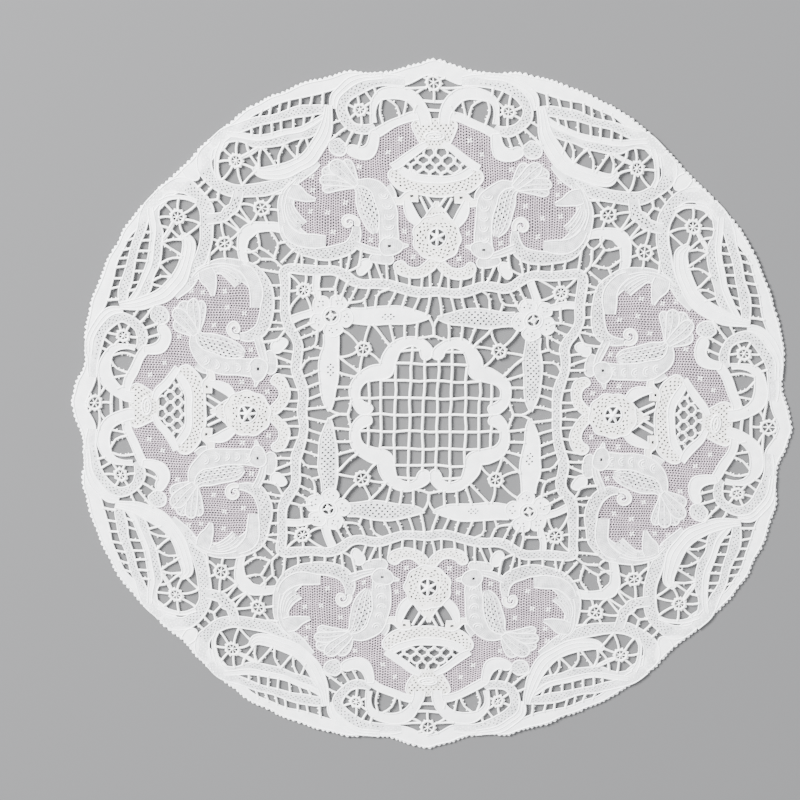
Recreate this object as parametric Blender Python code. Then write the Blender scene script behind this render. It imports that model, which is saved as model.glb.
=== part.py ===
"""Round needle-lace doily, 260 mm across, lying flat on its underside.

The lace is worked in one piece, so it is one flat solid: a thin sheet with a softly scalloped edge
and its largest gaps. The pattern is drawn once, for the half panel between the +Y axis and the
diagonal, mirrored, and turned four times. Plan sizes are in millimetres with the centre of the lace
at 0, 0; the mesh is in metres with its underside at z = 0.
"""
import math
from collections import namedtuple

import bmesh
import bpy

MM = 0.001
THICKNESS = 1.2  # close-worked lace with its raised outline cord
EDGE_STEPS = 14  # points of the scalloped edge along each half panel
QUARTERS = 4

Edge = namedtuple("Edge", "bearing radius")  # degrees from the panel's axis, mm
Cell = namedtuple("Cell", "x y wide tall turn")  # centre and sides in mm, turn in degrees
Ladder = namedtuple("Ladder", "x0 y0 x1 y1 bulge count tall bar")  # cells in a row between two ends
Wheel = namedtuple("Wheel", "x y hub rim spokes first bar")  # cells round a ringed wheel
Lie = namedtuple("Lie", "bearing inner rim")  # how far the lace has shifted clockwise there, mm

# The edge has a point at each panel's axis, a notch beside it and one long soft scallop.
EDGE = (
    Edge(0.0, 130.3),
    Edge(3.6, 128.6),
    Edge(6.2, 126.6),
    Edge(9.5, 127.4),
    Edge(14.0, 129.4),
    Edge(22.0, 129.8),
    Edge(31.0, 130.2),
    Edge(38.5, 129.2),
    Edge(45.0, 127.8),
)

# Hand-worked lace never lies quite square: each panel and corner is drawn round a little.
INNER_RADIUS = 66.0
RIM_RADIUS = 125.0
LIE_STEP = 45.0
LIE = (
    Lie(0.0, -1.3, 2.5),
    Lie(45.0, 0.0, -0.5),
    Lie(90.0, 1.1, -1.7),
    Lie(135.0, 0.3, 0.9),
    Lie(180.0, -0.8, 2.5),
    Lie(225.0, 0.0, 0.0),
    Lie(270.0, -0.7, -2.0),
    Lie(315.0, -0.3, -1.6),
)

# The rim is drawn out in some places and in at others, mm outwards at even bearings from +X.
PULL_STEP = 22.5
PULLS = (0.8, 0.0, -0.3, 0.2, 0.0, 0.0, -1.0, -1.2, -0.8, -0.6, -2.2, -1.2, -1.0, -2.7, -0.8, 1.4)

# Gaps of a half panel, mirrored across its axis: eight of each in the lace.
HALF_PANEL_CELLS = (
    Cell(6.6, 121.6, 4.6, 2.6, -12.0),  # beside the wheel at the tip
    Cell(10.2, 112.5, 3.4, 3.4, -25.0),  # under the arch
    Cell(16.2, 112.0, 5.8, 6.6, -6.0),
    Cell(24.9, 116.4, 3.4, 3.2, -30.0),  # round the wheel inside the rim curl
    Cell(28.6, 108.0, 4.8, 3.0, 15.0),
    Cell(49.6, 99.0, 3.8, 4.0, -20.0),  # the long end of the bean
    Cell(53.6, 93.4, 4.0, 3.6, -30.0),
    Cell(57.6, 97.2, 4.4, 4.0, -10.0),
    Cell(60.0, 92.2, 4.4, 3.6, -5.0),
    Cell(74.4, 79.4, 3.4, 3.6, 20.0),  # beside the corner's dotted bridge
    Cell(57.2, 62.0, 2.8, 4.8, 0.0),  # inside the panel's corner
    Cell(53.4, 58.0, 2.6, 5.0, 5.0),
    Cell(4.6, 31.0, 4.8, 5.2, 0.0),  # between the medallion and the square frame
    Cell(8.8, 75.4, 2.6, 4.2, -25.0),  # under the urn
)

# Gaps that lie on a diagonal: four of each.
DIAGONAL_CELLS = (
    Cell(62.6, 62.6, 4.6, 4.6, 45.0),
    Cell(69.4, 69.4, 4.4, 3.6, 45.0),
    Cell(80.4, 80.4, 3.0, 3.0, 45.0),
)

HALF_PANEL_LADDERS = (
    Ladder(24.6, 100.6, 36.0, 109.4, 3.4, 4, 2.8, 1.6),  # round the inside of the rim curl
    Ladder(36.6, 115.9, 57.0, 112.8, 0.6, 5, 2.2, 1.2),  # the fan's outer row of bars
    Ladder(47.4, 108.0, 65.0, 103.9, 0.6, 4, 2.6, 1.2),  # the fan's inner row of bars
    Ladder(1.6, 41.2, 31.6, 44.8, -0.8, 6, 4.0, 1.4),  # between the square frame and the braid
)
HALF_PANEL_WHEELS = (
    Wheel(71.9, 91.0, 3.2, 7.2, 5, 10.0, 1.2),  # in the round end of the bean
    Wheel(61.7, 74.4, 3.2, 5.8, 5, 30.0, 1.2),  # in the corner
)
DIAGONAL_WHEELS = (
    Wheel(24.1, 24.1, 3.0, 6.0, 5, 9.0, 1.2),  # inside the square frame
    Wheel(45.6, 45.6, 3.0, 5.4, 5, 9.0, 1.2),  # outside its corner flower
)

# The medallion holds a plain net of crossed threads.
NET_COLUMN = 4.9
NET_ROW = 6.3
NET_THREAD = 0.9
NET_RADIUS = 23.0

# The urn's bowl is a honeycomb, and the rosette above it has one round hole.
COMB_PITCH = 4.3
COMB_GAP = 4.2
COMB_SIDES = 4
COMB_ROWS = ((88.6, 3), (92.3, 4), (96.0, 1))  # height on the axis, mm, and cells in that row
ROSETTE_CENTRE = 65.8
ROSETTE_HOLE = 3.0
ROSETTE_SIDES = 8


def edge_radius(bearing):
    """Radius of the edge at a bearing, in degrees from the nearest panel's axis (0 to 45)."""
    for low, high in zip(EDGE, EDGE[1:]):
        if bearing <= high.bearing:
            part = (bearing - low.bearing) / (high.bearing - low.bearing)
            ease = (1 - math.cos(math.pi * part)) / 2
            return low.radius + (high.radius - low.radius) * ease
    return EDGE[-1].radius


def edge_outline():
    """The whole scalloped edge as one loop of points."""
    steps = 2 * QUARTERS * EDGE_STEPS
    points = []
    for step in range(steps):
        bearing = 360.0 * step / steps
        from_axis = abs((bearing + 45.0) % 90.0 - 45.0)
        radius = edge_radius(from_axis)
        points.append((radius * math.cos(math.radians(bearing)), radius * math.sin(math.radians(bearing))))
    return points


def cell_corners(cell):
    """The four corners of a gap."""
    cosine, sine = math.cos(math.radians(cell.turn)), math.sin(math.radians(cell.turn))
    corners = []
    for across, along in ((-1, -1), (1, -1), (1, 1), (-1, 1)):
        dx, dy = across * cell.wide / 2, along * cell.tall / 2
        corners.append((cell.x + dx * cosine - dy * sine, cell.y + dx * sine + dy * cosine))
    return corners


def ladder_cells(ladder):
    """A row of gaps parted by bars, along a shallow bow that bulges to its right by bulge mm."""
    dx, dy = ladder.x1 - ladder.x0, ladder.y1 - ladder.y0
    length = math.hypot(dx, dy)

    def place(part):
        bow = ladder.bulge * 4 * part * (1 - part)
        return ladder.x0 + dx * part + bow * dy / length, ladder.y0 + dy * part - bow * dx / length

    gap = (length - ladder.bar * (ladder.count - 1)) / ladder.count
    cells = []
    for index in range(ladder.count):
        start = place(index * (gap + ladder.bar) / length)
        end = place((index * (gap + ladder.bar) + gap) / length)
        turn = math.degrees(math.atan2(end[1] - start[1], end[0] - start[0]))
        middle = ((start[0] + end[0]) / 2, (start[1] + end[1]) / 2)
        cells.append(cell_corners(Cell(*middle, math.dist(start, end), ladder.tall, turn)))
    return cells


def wheel_cells(wheel):
    """The gaps between a wheel's spokes, from its ring out to the bands round it."""
    cells = []
    share = 2 * math.pi / wheel.spokes
    for index in range(wheel.spokes):
        middle = math.radians(wheel.first) + share * (index + 0.5)
        corners = []
        for radius, side in ((wheel.hub, -1), (wheel.rim, -1), (wheel.rim, 1), (wheel.hub, 1)):
            angle = middle + side * (share / 2 - wheel.bar / 2 / radius)
            corners.append((wheel.x + radius * math.cos(angle), wheel.y + radius * math.sin(angle)))
        cells.append(corners)
    return cells


def net_cells():
    """The square gaps of the medallion's net that lie wholly inside its ring."""
    columns = int(NET_RADIUS / NET_COLUMN) + 1
    rows = int(NET_RADIUS / NET_ROW) + 1
    wide, tall = NET_COLUMN - NET_THREAD, NET_ROW - NET_THREAD
    cells = []
    for column in range(-columns, columns + 1):
        for row in range(-rows, rows):
            corners = cell_corners(Cell(column * NET_COLUMN, (row + 0.5) * NET_ROW, wide, tall, 0.0))
            if max(math.hypot(*corner) for corner in corners) < NET_RADIUS:
                cells.append(corners)
    return cells


def regular_gap(x, y, across, sides):
    """A gap with equal sides, across mm from corner to corner."""
    angles = [2 * math.pi * (index + 0.5) / sides for index in range(sides)]
    return [(x + across / 2 * math.cos(angle), y + across / 2 * math.sin(angle)) for angle in angles]


def panel_cells():
    """The gaps on a panel's axis: honeycomb bowl and rosette hole."""
    cells = []
    for height, count in COMB_ROWS:
        for index in range(count):
            cells.append(regular_gap((index - (count - 1) / 2) * COMB_PITCH, height, COMB_GAP, COMB_SIDES))
    cells.append(regular_gap(0.0, ROSETTE_CENTRE, 2 * ROSETTE_HOLE, ROSETTE_SIDES))
    return cells


def half_panel_cells():
    """The gaps between a panel's axis and the next diagonal."""
    cells = [cell_corners(cell) for cell in HALF_PANEL_CELLS]
    for ladder in HALF_PANEL_LADDERS:
        cells += ladder_cells(ladder)
    for wheel in HALF_PANEL_WHEELS:
        cells += wheel_cells(wheel)
    return cells


def corner_cells():
    """The gaps on a diagonal."""
    cells = [cell_corners(cell) for cell in DIAGONAL_CELLS]
    for wheel in DIAGONAL_WHEELS:
        cells += wheel_cells(wheel)
    return cells


def quarter_turned(points, quarter):
    """Points turned by a number of quarter turns about the centre."""
    for _ in range(quarter):
        points = [(-y, x) for x, y in points]
    return points


def all_gaps():
    """Every gap of the lace, before it is laid down."""
    half = half_panel_cells()
    panel = half + [[(-x, y) for x, y in cell] for cell in half] + panel_cells() + corner_cells()
    gaps = net_cells()
    for quarter in range(QUARTERS):
        gaps += [quarter_turned(cell, quarter) for cell in panel]
    return gaps


def nearness(bearing, centre, step):
    """Weight of a value set at one bearing: one there, falling to none a step away."""
    away = abs((bearing - centre + 180.0) % 360.0 - 180.0)
    return math.cos(math.radians(90.0 * min(away, step) / step)) ** 2


def laid(x, y):
    """Where a point of the square pattern lies on the table."""
    radius = math.hypot(x, y)
    if radius == 0:
        return x, y
    bearing = math.degrees(math.atan2(y, x))
    inner = rim = pull = 0.0
    for lie in LIE:
        weight = nearness(bearing, lie.bearing, LIE_STEP)
        inner += weight * lie.inner
        rim += weight * lie.rim
    for index, drawn_out in enumerate(PULLS):
        pull += nearness(bearing, index * PULL_STEP, PULL_STEP) * drawn_out
    past = (radius - INNER_RADIUS) / (RIM_RADIUS - INNER_RADIUS)
    if past < 0:
        shift = inner * radius / INNER_RADIUS
        out = radius
    else:
        shift = inner + (rim - inner) * past
        out = radius + pull * min(past, 1.0) ** 2
    angle = math.atan2(y, x) - shift / radius
    return out * math.cos(angle), out * math.sin(angle)


def lace_mesh(outline, gaps):
    """A flat sheet with that outline and those gaps, filled and given its thickness."""
    bm = bmesh.new()
    for loop in [outline] + gaps:
        verts = []
        for point in loop:
            x, y = laid(*point)
            verts.append(bm.verts.new((x * MM, y * MM, 0.0)))
        for vert, following in zip(verts, verts[1:] + verts[:1]):
            bm.edges.new((vert, following))
    bmesh.ops.triangle_fill(bm, use_beauty=True, use_dissolve=False, edges=bm.edges)
    raised = bmesh.ops.extrude_face_region(bm, geom=bm.faces, use_keep_orig=True)
    verts = [item for item in raised["geom"] if isinstance(item, bmesh.types.BMVert)]
    bmesh.ops.translate(bm, verts=verts, vec=(0.0, 0.0, THICKNESS * MM))
    bmesh.ops.recalc_face_normals(bm, faces=bm.faces)
    mesh = bpy.data.meshes.new("doily")
    bm.to_mesh(mesh)
    bm.free()
    return mesh


def linen_white():
    """Bleached linen thread, matt and slightly cool."""
    material = bpy.data.materials.new("linen_thread")
    material.use_nodes = True
    shader = material.node_tree.nodes["Principled BSDF"]
    shader.inputs["Base Color"].default_value = (0.86, 0.87, 0.88, 1.0)
    shader.inputs["Roughness"].default_value = 0.85
    shader.inputs["Metallic"].default_value = 0.0
    return material


def main():
    """Clear the scene and build the doily."""
    for old in list(bpy.data.objects):
        bpy.data.objects.remove(old, do_unlink=True)
    doily = bpy.data.objects.new("doily", lace_mesh(edge_outline(), all_gaps()))
    doily.data.materials.append(linen_white())
    bpy.context.scene.collection.objects.link(doily)


main()
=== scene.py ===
"""Looks of the round needle-lace doily: close-worked bands, net, bars, wheels and their outline cord.

The lace has four equal panels, each the mirror of itself, so almost everything is drawn once for the
half panel between the +Y axis and the diagonal, in millimetres from the centre, and repeated. Every
point is then laid down as the real lace lies: drawn a little round, and not quite flat.
"""
import logging
import math
import random
from dataclasses import dataclass, field
from enum import Enum

import bmesh
import bpy
import numpy as np
from mathutils import Matrix, Vector


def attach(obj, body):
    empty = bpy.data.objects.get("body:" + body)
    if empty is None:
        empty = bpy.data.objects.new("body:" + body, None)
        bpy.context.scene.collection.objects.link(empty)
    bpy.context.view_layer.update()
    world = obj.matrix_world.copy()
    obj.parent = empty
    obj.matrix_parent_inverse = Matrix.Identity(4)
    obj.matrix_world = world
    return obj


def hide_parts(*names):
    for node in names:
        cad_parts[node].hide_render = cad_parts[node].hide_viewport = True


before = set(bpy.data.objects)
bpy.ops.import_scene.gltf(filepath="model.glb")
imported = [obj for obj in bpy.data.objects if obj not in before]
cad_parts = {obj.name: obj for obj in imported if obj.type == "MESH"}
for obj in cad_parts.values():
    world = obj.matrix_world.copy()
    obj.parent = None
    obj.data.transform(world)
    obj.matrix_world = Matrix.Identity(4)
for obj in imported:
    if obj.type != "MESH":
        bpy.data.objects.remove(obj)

log = logging.getLogger("doily")

Place = tuple[float, float]
Station = tuple[float, float, float]  # x, y and full width, mm
Route = tuple[Station, ...]
Run = tuple[Place, ...]
Wave = tuple[float, float, float]  # radians per mm along x and y, and where it starts
Lamp = tuple[tuple[float, float, float], float, float]  # place and side in m, watts

MM = 0.001
TINY = 1e-12  # least length that anything is divided by
QUARTERS = 4
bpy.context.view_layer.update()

# Sizes of the work, mm where nothing else is said.
BAND_FLOOR = 0.14  # height of a band's underside over the table
BAND_THICK = 0.46
LEAST_WIDTH = 0.15  # of a band, however its stations run
SEAM = 0.001  # a point nearer than this to where a closed band meets itself is on the seam
CROWN = 0.10  # how much higher a band's middle is than its edges
CORD_RADIUS = 0.27
CORD_SIDE = 0.97  # how far out on a band's half width its outline cord runs
CORD_SUNK = 0.02  # how far the cord's middle is below the band's top
CORD_SAMPLE = 0.25  # between the places where a cord is looked for under other bands
LEAST_SAMPLES = 8  # such places along a cord, however short it is
LEAST_SEEN = 3  # a cord seen at no more than so many places on end is left out
CORD_STEP = 1.1  # between the points of a cord
ROUND_STEP = 0.65  # in place of CORD_STEP where a band has a rounded end
VEIN_RADIUS = 0.15
VEIN_MARGIN = 1.0  # how far from the band's ends a vein stops
MIDDLE = 0.46  # height of the middle of a free thread over the table
ON_TOP = 0.78  # height of a thread that is laid on close work
LEAST_CLEARANCE = 0.02  # of any thread over the table
TUCK = 0.35  # how far a thread's end goes into the close work
PLAIN_TILE = 1.5  # side of a tile of plain close work
HOLED_TILE = 0.90
OPEN_TILE = 1.0
LEAST_HOLED_TILE = 0.55  # a narrower tile stays whole
EYELET_MARGIN = 0.14  # share of a tile left beside a single eyelet
ODD_COLUMNS = 6  # a pinholed band of fewer columns has an odd number of them
EDGED_COLUMNS = 4  # a pinholed band of more columns keeps the outermost whole
LEAST_END = 0.18  # share of its width that a rounded end keeps at its very tip
SPAN_SAMPLES = 14  # points of the curve between two stations
WAVE_PERIOD = math.pi / 10  # length of one band of a wave texture at scale 1
STRAND_SHARP = 80.0  # degrees past which an edge of a strand is not smoothed


class Copies(Enum):
    """How often a piece of the pattern is repeated."""

    HALF_PANELS = "eight"
    PANELS = "four"
    ONCE = "one"
    LEFT_FOUR = "every second half panel"
    RIGHT_FOUR = "the other half panels"

    def placements(self) -> list[tuple[int, bool]]:
        """Where each copy goes.

        Returns:
            Its quarter turns, and whether the drawing is mirrored first.
        """
        halves = [(quarter, mirrored) for quarter in range(QUARTERS) for mirrored in (False, True)]
        chosen = {
            Copies.HALF_PANELS: halves,
            Copies.PANELS: [(quarter, False) for quarter in range(QUARTERS)],
            Copies.ONCE: [(0, False)],
            Copies.LEFT_FOUR: [half for half in halves if half[1] == bool(half[0] % 2)],
            Copies.RIGHT_FOUR: [half for half in halves if half[1] != bool(half[0] % 2)],
        }
        return chosen[self]


class Work(Enum):
    """The stitch that fills a band: side of its tile in mm, and the share of a tile beside its hole."""

    PLAIN = (PLAIN_TILE, 0.0)
    FINE = (HOLED_TILE, 0.0)
    PINHOLED = (HOLED_TILE, 0.2)
    OPENED = (OPEN_TILE, 0.16)

    @property
    def tile(self) -> float:
        """Side of one tile of the stitch, mm."""
        return self.value[0]

    @property
    def holed(self) -> bool:
        """Whether every second tile has a pinhole."""
        return self.value[1] > 0

    @property
    def margin(self) -> float:
        """Share of a tile left as close work at each side of its hole."""
        return self.value[1] or EYELET_MARGIN


class End(Enum):
    """How a band finishes."""

    SQUARE = "worked into its neighbour"
    ROUND = "rounded"


@dataclass(frozen=True)
class Lie:
    """How the finished lace lies: drawn round a little at each bearing, and not quite flat.

    rows are (bearing in degrees, shift inside the panels, shift at the rim), in mm clockwise;
    pulls say how far the rim is drawn out, in mm, every pull_step degrees from +X.
    """

    rows: tuple[tuple[float, float, float], ...] = (
        (0, -1.3, 2.5), (45, 0.0, -0.5), (90, 1.1, -1.7), (135, 0.3, 0.9),
        (180, -0.8, 2.5), (225, 0.0, 0.0), (270, -0.7, -2.0), (315, -0.3, -1.6),
    )
    row_step: float = 45.0
    pulls: tuple[float, ...] = (
        0.8, 0.0, -0.3, 0.2, 0.0, 0.0, -1.0, -1.2,
        -0.8, -0.6, -2.2, -1.2, -1.0, -2.7, -0.8, 1.4,
    )
    pull_step: float = 22.5
    inner_radius: float = 66.0
    rim_radius: float = 125.0
    hand: float = 0.16  # how far handwork strays from the drawing, mm
    strays_x: tuple[Wave, ...] = ((0.61, 0.23, 1.0), (0.19, -0.47, 2.2))
    strays_y: tuple[Wave, ...] = ((0.27, 0.58, 0.4), (0.44, -0.21, 3.1))
    lift: float = 0.35  # how high the lace stands off the table where it is not pressed down, mm
    swells: tuple[Wave, Wave] = ((0.055, 0.0, 0.9), (0.0, 0.047, -0.6))
    ripple: Wave = (0.09, -0.07, 1.9)
    ripple_share: float = 0.6  # height of the ripple beside that of the swells

    @staticmethod
    def wave(x: np.ndarray, y: np.ndarray, wave: Wave) -> np.ndarray:
        """Height of one wave at each place, from -1 to 1."""
        return np.sin(wave[0] * x + wave[1] * y + wave[2])

    @staticmethod
    def nearness(bearing: np.ndarray, centre: float, step: float) -> np.ndarray:
        """Weight of a value set at one bearing: one there, falling to none a step away.

        Args:
            bearing: bearings asked about, degrees.
            centre: bearing of the value.
            step: degrees between neighbouring values.

        Returns:
            The weight at each bearing; the weights of neighbours add up to one.
        """
        away = np.abs((bearing - centre + 180.0) % 360.0 - 180.0)
        return np.cos(np.radians(90.0 * np.minimum(away, step) / step)) ** 2

    def laid(self, points: np.ndarray) -> np.ndarray:
        """Where points of the square drawing lie on the table.

        Args:
            points: rows of x, y and height over the underside, mm.

        Returns:
            Rows of x, y and z, mm.
        """
        x, y, z = points.T
        stray_x = self.hand * sum(self.wave(x, y, wave) for wave in self.strays_x)
        stray_y = self.hand * sum(self.wave(x, y, wave) for wave in self.strays_y)
        x, y = x + stray_x, y + stray_y
        radius = np.hypot(x, y) + TINY
        bearing = np.degrees(np.arctan2(y, x))
        inner, rim, pull = np.zeros_like(x), np.zeros_like(x), np.zeros_like(x)
        for row_bearing, row_inner, row_rim in self.rows:
            weight = self.nearness(bearing, row_bearing, self.row_step)
            inner += weight * row_inner
            rim += weight * row_rim
        for index, drawn_out in enumerate(self.pulls):
            pull += self.nearness(bearing, index * self.pull_step, self.pull_step) * drawn_out
        past = (radius - self.inner_radius) / (self.rim_radius - self.inner_radius)
        inside = radius < self.inner_radius
        shift = np.where(inside, inner * radius / self.inner_radius, inner + (rim - inner) * past)
        angle = np.arctan2(y, x) - shift / radius
        out = radius + pull * np.clip(past, 0.0, 1.0) ** 2
        swell = self.wave(x, y, self.swells[0]) * self.wave(x, y, self.swells[1])
        swell = swell + self.ripple_share * self.wave(x, y, self.ripple)
        height = z + self.lift * np.clip(swell, 0.0, 1.0)
        return np.stack([out * np.cos(angle), out * np.sin(angle), height], axis=1)


def placed(points: np.ndarray, quarter: int, mirrored: bool) -> np.ndarray:
    """Points of the half-panel drawing mirrored across its axis and turned.

    Args:
        points: rows that start with x and y, mm.
        quarter: number of quarter turns, anticlockwise.
        mirrored: whether x is reversed first.

    Returns:
        The moved rows.
    """
    moved = points.copy()
    if mirrored:
        moved[:, 0] *= -1
    for _ in range(quarter):
        moved[:, 0], moved[:, 1] = -moved[:, 1].copy(), moved[:, 0].copy()
    return moved


def across_axis(route: Route) -> Route:
    """A route from the panel's axis outwards, carried across the axis as its own mirror."""
    start = 1 if route[0][0] == 0 else 0
    return tuple((-x, y, width) for x, y, width in reversed(route[start:])) + route


def across_diagonal(route: Route) -> Route:
    """A route that ends on the diagonal, carried across it as its own mirror."""
    stop = -1 if route[-1][0] == route[-1][1] else len(route)
    return route + tuple((y, x, width) for x, y, width in reversed(route[:stop]))


def all_round(route: Route) -> Route:
    """A closed route round the whole lace.

    Args:
        route: its stations between the panel's axis and the diagonal.

    Returns:
        All its stations, clockwise.
    """
    corner = across_diagonal(route)
    stations: list[Station] = []
    for quarter in range(QUARTERS):
        turned = placed(np.array(corner[:-1], float), -quarter % QUARTERS, False)
        stations += [tuple(row) for row in turned]
    return tuple(stations)


def pointing(angle: float) -> np.ndarray:
    """A direction one mm long, from its angle in radians."""
    return np.array([math.cos(angle), math.sin(angle)])


def leftward(toward: np.ndarray) -> np.ndarray:
    """The direction a quarter turn to the left of another."""
    return np.array([-toward[1], toward[0]])


def full_turn(count: int) -> np.ndarray:
    """Angles evenly spaced round a circle, radians."""
    return np.linspace(0, 2 * math.pi, count, endpoint=False)


def oval(centre: Place, wide: float, tall: float, turns: np.ndarray) -> np.ndarray:
    """Points on an oval.

    Args:
        centre: its middle, mm.
        wide: half its width, mm.
        tall: half its height, mm.
        turns: the angles of the points, radians.

    Returns:
        Rows of x and y, mm.
    """
    return np.column_stack([centre[0] + wide * np.cos(turns), centre[1] + tall * np.sin(turns)])


class Line:
    """A smooth run through stations: place, direction and width at any distance along it."""

    def __init__(self, route: Route, closed: bool = False) -> None:
        """Draw the curve.

        Args:
            route: stations of x, y and width, mm.
            closed: whether the last station runs on into the first.
        """
        rows = np.array(route, float)
        if closed:
            rows = np.vstack([rows[-1:], rows, rows[:2]])
        else:
            rows = np.vstack([2 * rows[0] - rows[1], rows, 2 * rows[-1] - rows[-2]])
        part = np.linspace(0, 1, SPAN_SAMPLES, endpoint=False)[:, None]
        spans = [self.span(*rows[index : index + 4], part) for index in range(len(rows) - 3)]
        dense = np.vstack([*spans, rows[-2:-1]])
        dense[:, 2] = np.maximum(dense[:, 2], LEAST_WIDTH)
        steps = np.hypot(*np.diff(dense[:, :2], axis=0).T)
        self.closed = closed
        self.rows = dense
        self.along = np.concatenate([[0], np.cumsum(steps)])
        self.length = float(self.along[-1])
        self.widest = float(dense[:, 2].max())
        heading = np.gradient(dense[:, :2], self.along, axis=0)
        if closed:
            heading[0] = heading[-1] = heading[0] + heading[-1]
        self.heading = heading / (np.hypot(*heading.T)[:, None] + TINY)

    @staticmethod
    def span(a: np.ndarray, b: np.ndarray, c: np.ndarray, d: np.ndarray, part: np.ndarray) -> np.ndarray:
        """The curve between two stations.

        Args:
            a: the station before.
            b: the station where it starts.
            c: the station where it ends.
            d: the station after.
            part: parts of the way from b to c.

        Returns:
            Its x, y and width at each part.
        """
        ab, bc, cd = (max(math.dist(p[:2], q[:2]), TINY) ** 0.5 for p, q in ((a, b), (b, c), (c, d)))
        leave = (b - a) / ab - (c - a) / (ab + bc) + (c - b) / bc
        arrive = (c - b) / bc - (d - b) / (bc + cd) + (d - c) / cd
        leave, arrive = leave * bc, arrive * bc
        return (
            (2 * part**3 - 3 * part**2 + 1) * b
            + (part**3 - 2 * part**2 + part) * leave
            + (3 * part**2 - 2 * part**3) * c
            + (part**3 - part**2) * arrive
        )

    def at(self, along: np.ndarray) -> tuple[np.ndarray, np.ndarray, np.ndarray]:
        """What the line is like at some distances along it.

        Args:
            along: the distances, mm.

        Returns:
            Places, leftward directions and widths there.
        """
        place = np.stack([np.interp(along, self.along, self.rows[:, axis]) for axis in (0, 1)], axis=1)
        width = np.interp(along, self.along, self.rows[:, 2])
        heading = np.stack([np.interp(along, self.along, self.heading[:, axis]) for axis in (0, 1)], axis=1)
        heading /= np.hypot(*heading.T)[:, None] + TINY
        left = np.stack([-heading[:, 1], heading[:, 0]], axis=1)
        return place, left, width


@dataclass(frozen=True)
class Band:
    """One close-worked band: stations along its middle, its stitch, ends, copies and cord."""

    route: Route
    work: Work = Work.PLAIN
    start: End = End.SQUARE
    finish: End = End.SQUARE
    copies: Copies = Copies.HALF_PANELS
    closed: bool = False
    level: float = 0.0  # how much higher than its neighbours it is worked, mm
    side: float = 0.0  # -1 to 1: which side of the route the band lies on; 0 is the middle
    eyelets: tuple[Place, ...] = ()  # single holes worked into it
    cream: bool = False
    veins: int = 0  # raised lines worked along it, between its edges

    def line(self) -> Line:
        """The band's middle line."""
        return Line(self.route, self.closed)

    @property
    def material_number(self) -> int:
        """Which of its piece's finishes it has: plain, cream or pinholed; the pinholed one, and the figures'
        plain one, are darkened with painted shade.
        """
        return 1 if self.cream else 2 * self.work.holed

    def spread(self, line: Line, run: np.ndarray) -> tuple[np.ndarray, np.ndarray]:
        """Distances along the line and shares of the full width for runs round its rounded ends.

        Args:
            line: the band's middle line.
            run: distances along the band's own surface, from 0 to self.run(line).

        Returns:
            Distance along the line, and the share of the width there.
        """
        head, tail = self.caps(line)
        along = run - head * (math.pi / 2 - 1)
        share = np.ones_like(run)
        if head:
            inside = run < head * math.pi / 2
            along = np.where(inside, head * (1 - np.cos(run / head)), along)
            share = np.where(inside, np.sin(np.clip(run / head, 0, math.pi / 2)), share)
        if tail:
            left = self.run(line) - run
            inside = left < tail * math.pi / 2
            along = np.where(inside, line.length - tail * (1 - np.cos(left / tail)), along)
            share = np.where(inside, np.sin(np.clip(left / tail, 0, math.pi / 2)), share)
        return along, np.maximum(share, LEAST_END)

    def caps(self, line: Line) -> tuple[float, float]:
        """How round the band's ends are.

        Args:
            line: the band's middle line.

        Returns:
            Radius of its first and last end, 0 for a square one.
        """
        widths = line.at(np.array([0.0, line.length]))[2] / 2
        head = float(widths[0]) if self.start is End.ROUND else 0.0
        tail = float(widths[1]) if self.finish is End.ROUND else 0.0
        return head, tail

    def run(self, line: Line) -> float:
        """Length of the band's surface, its rounded ends unrolled."""
        return line.length + sum(self.caps(line)) * (math.pi / 2 - 1)

    def surface(self, line: Line, run: np.ndarray, across: np.ndarray) -> np.ndarray:
        """Places on the band.

        Args:
            line: the band's middle line.
            run: distances along its surface, mm.
            across: -1 at the right edge to 1 at the left edge.

        Returns:
            Rows of x and y, mm.
        """
        along, share = self.spread(line, run)
        place, left, width = line.at(along)
        return place + left * ((across + self.side) * share * width / 2)[:, None]


@dataclass
class Patch:
    """Flat lace as arrays: points in mm, faces' corners, stitch coordinates and finish numbers."""

    points: np.ndarray
    corners: np.ndarray
    sizes: np.ndarray
    stitch: np.ndarray
    finish: np.ndarray

    def flipped(self) -> "Patch":
        """The same patch with every face turned over.

        Returns:
            The patch for a mirrored copy.
        """
        starts = np.concatenate([[0], np.cumsum(self.sizes)[:-1]])
        order = np.arange(len(self.corners))
        mirror = np.repeat(2 * starts + self.sizes - 1, self.sizes) - order
        return Patch(self.points, self.corners[mirror], self.sizes, self.stitch[mirror], self.finish)

    def joined_up(self, run: float) -> "Patch":
        """The same flat patch with its last row of points made one with its first.

        Args:
            run: length of the flat patch along x, mm.

        Returns:
            The ring, without the two walls that met.
        """
        first = np.flatnonzero(np.abs(self.points[:, 0]) < SEAM)
        last = np.flatnonzero(np.abs(self.points[:, 0] - run) < SEAM)
        follow = np.arange(len(self.points))
        for index in last:
            apart = self.points[first, 1:] - self.points[index, 1:]
            follow[index] = first[np.argmin(np.hypot(*apart.T))]
        starts = np.concatenate([[0], np.cumsum(self.sizes)[:-1]])
        x = self.points[self.corners, 0]
        at_start = np.maximum.reduceat(x, starts) < SEAM
        at_stop = np.minimum.reduceat(x, starts) > run - SEAM
        faces = ~(at_start | at_stop)
        kept = np.repeat(faces, self.sizes)
        used, corners = np.unique(follow[self.corners[kept]], return_inverse=True)
        return Patch(self.points[used], corners, self.sizes[faces], self.stitch[kept], self.finish[faces])


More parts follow.
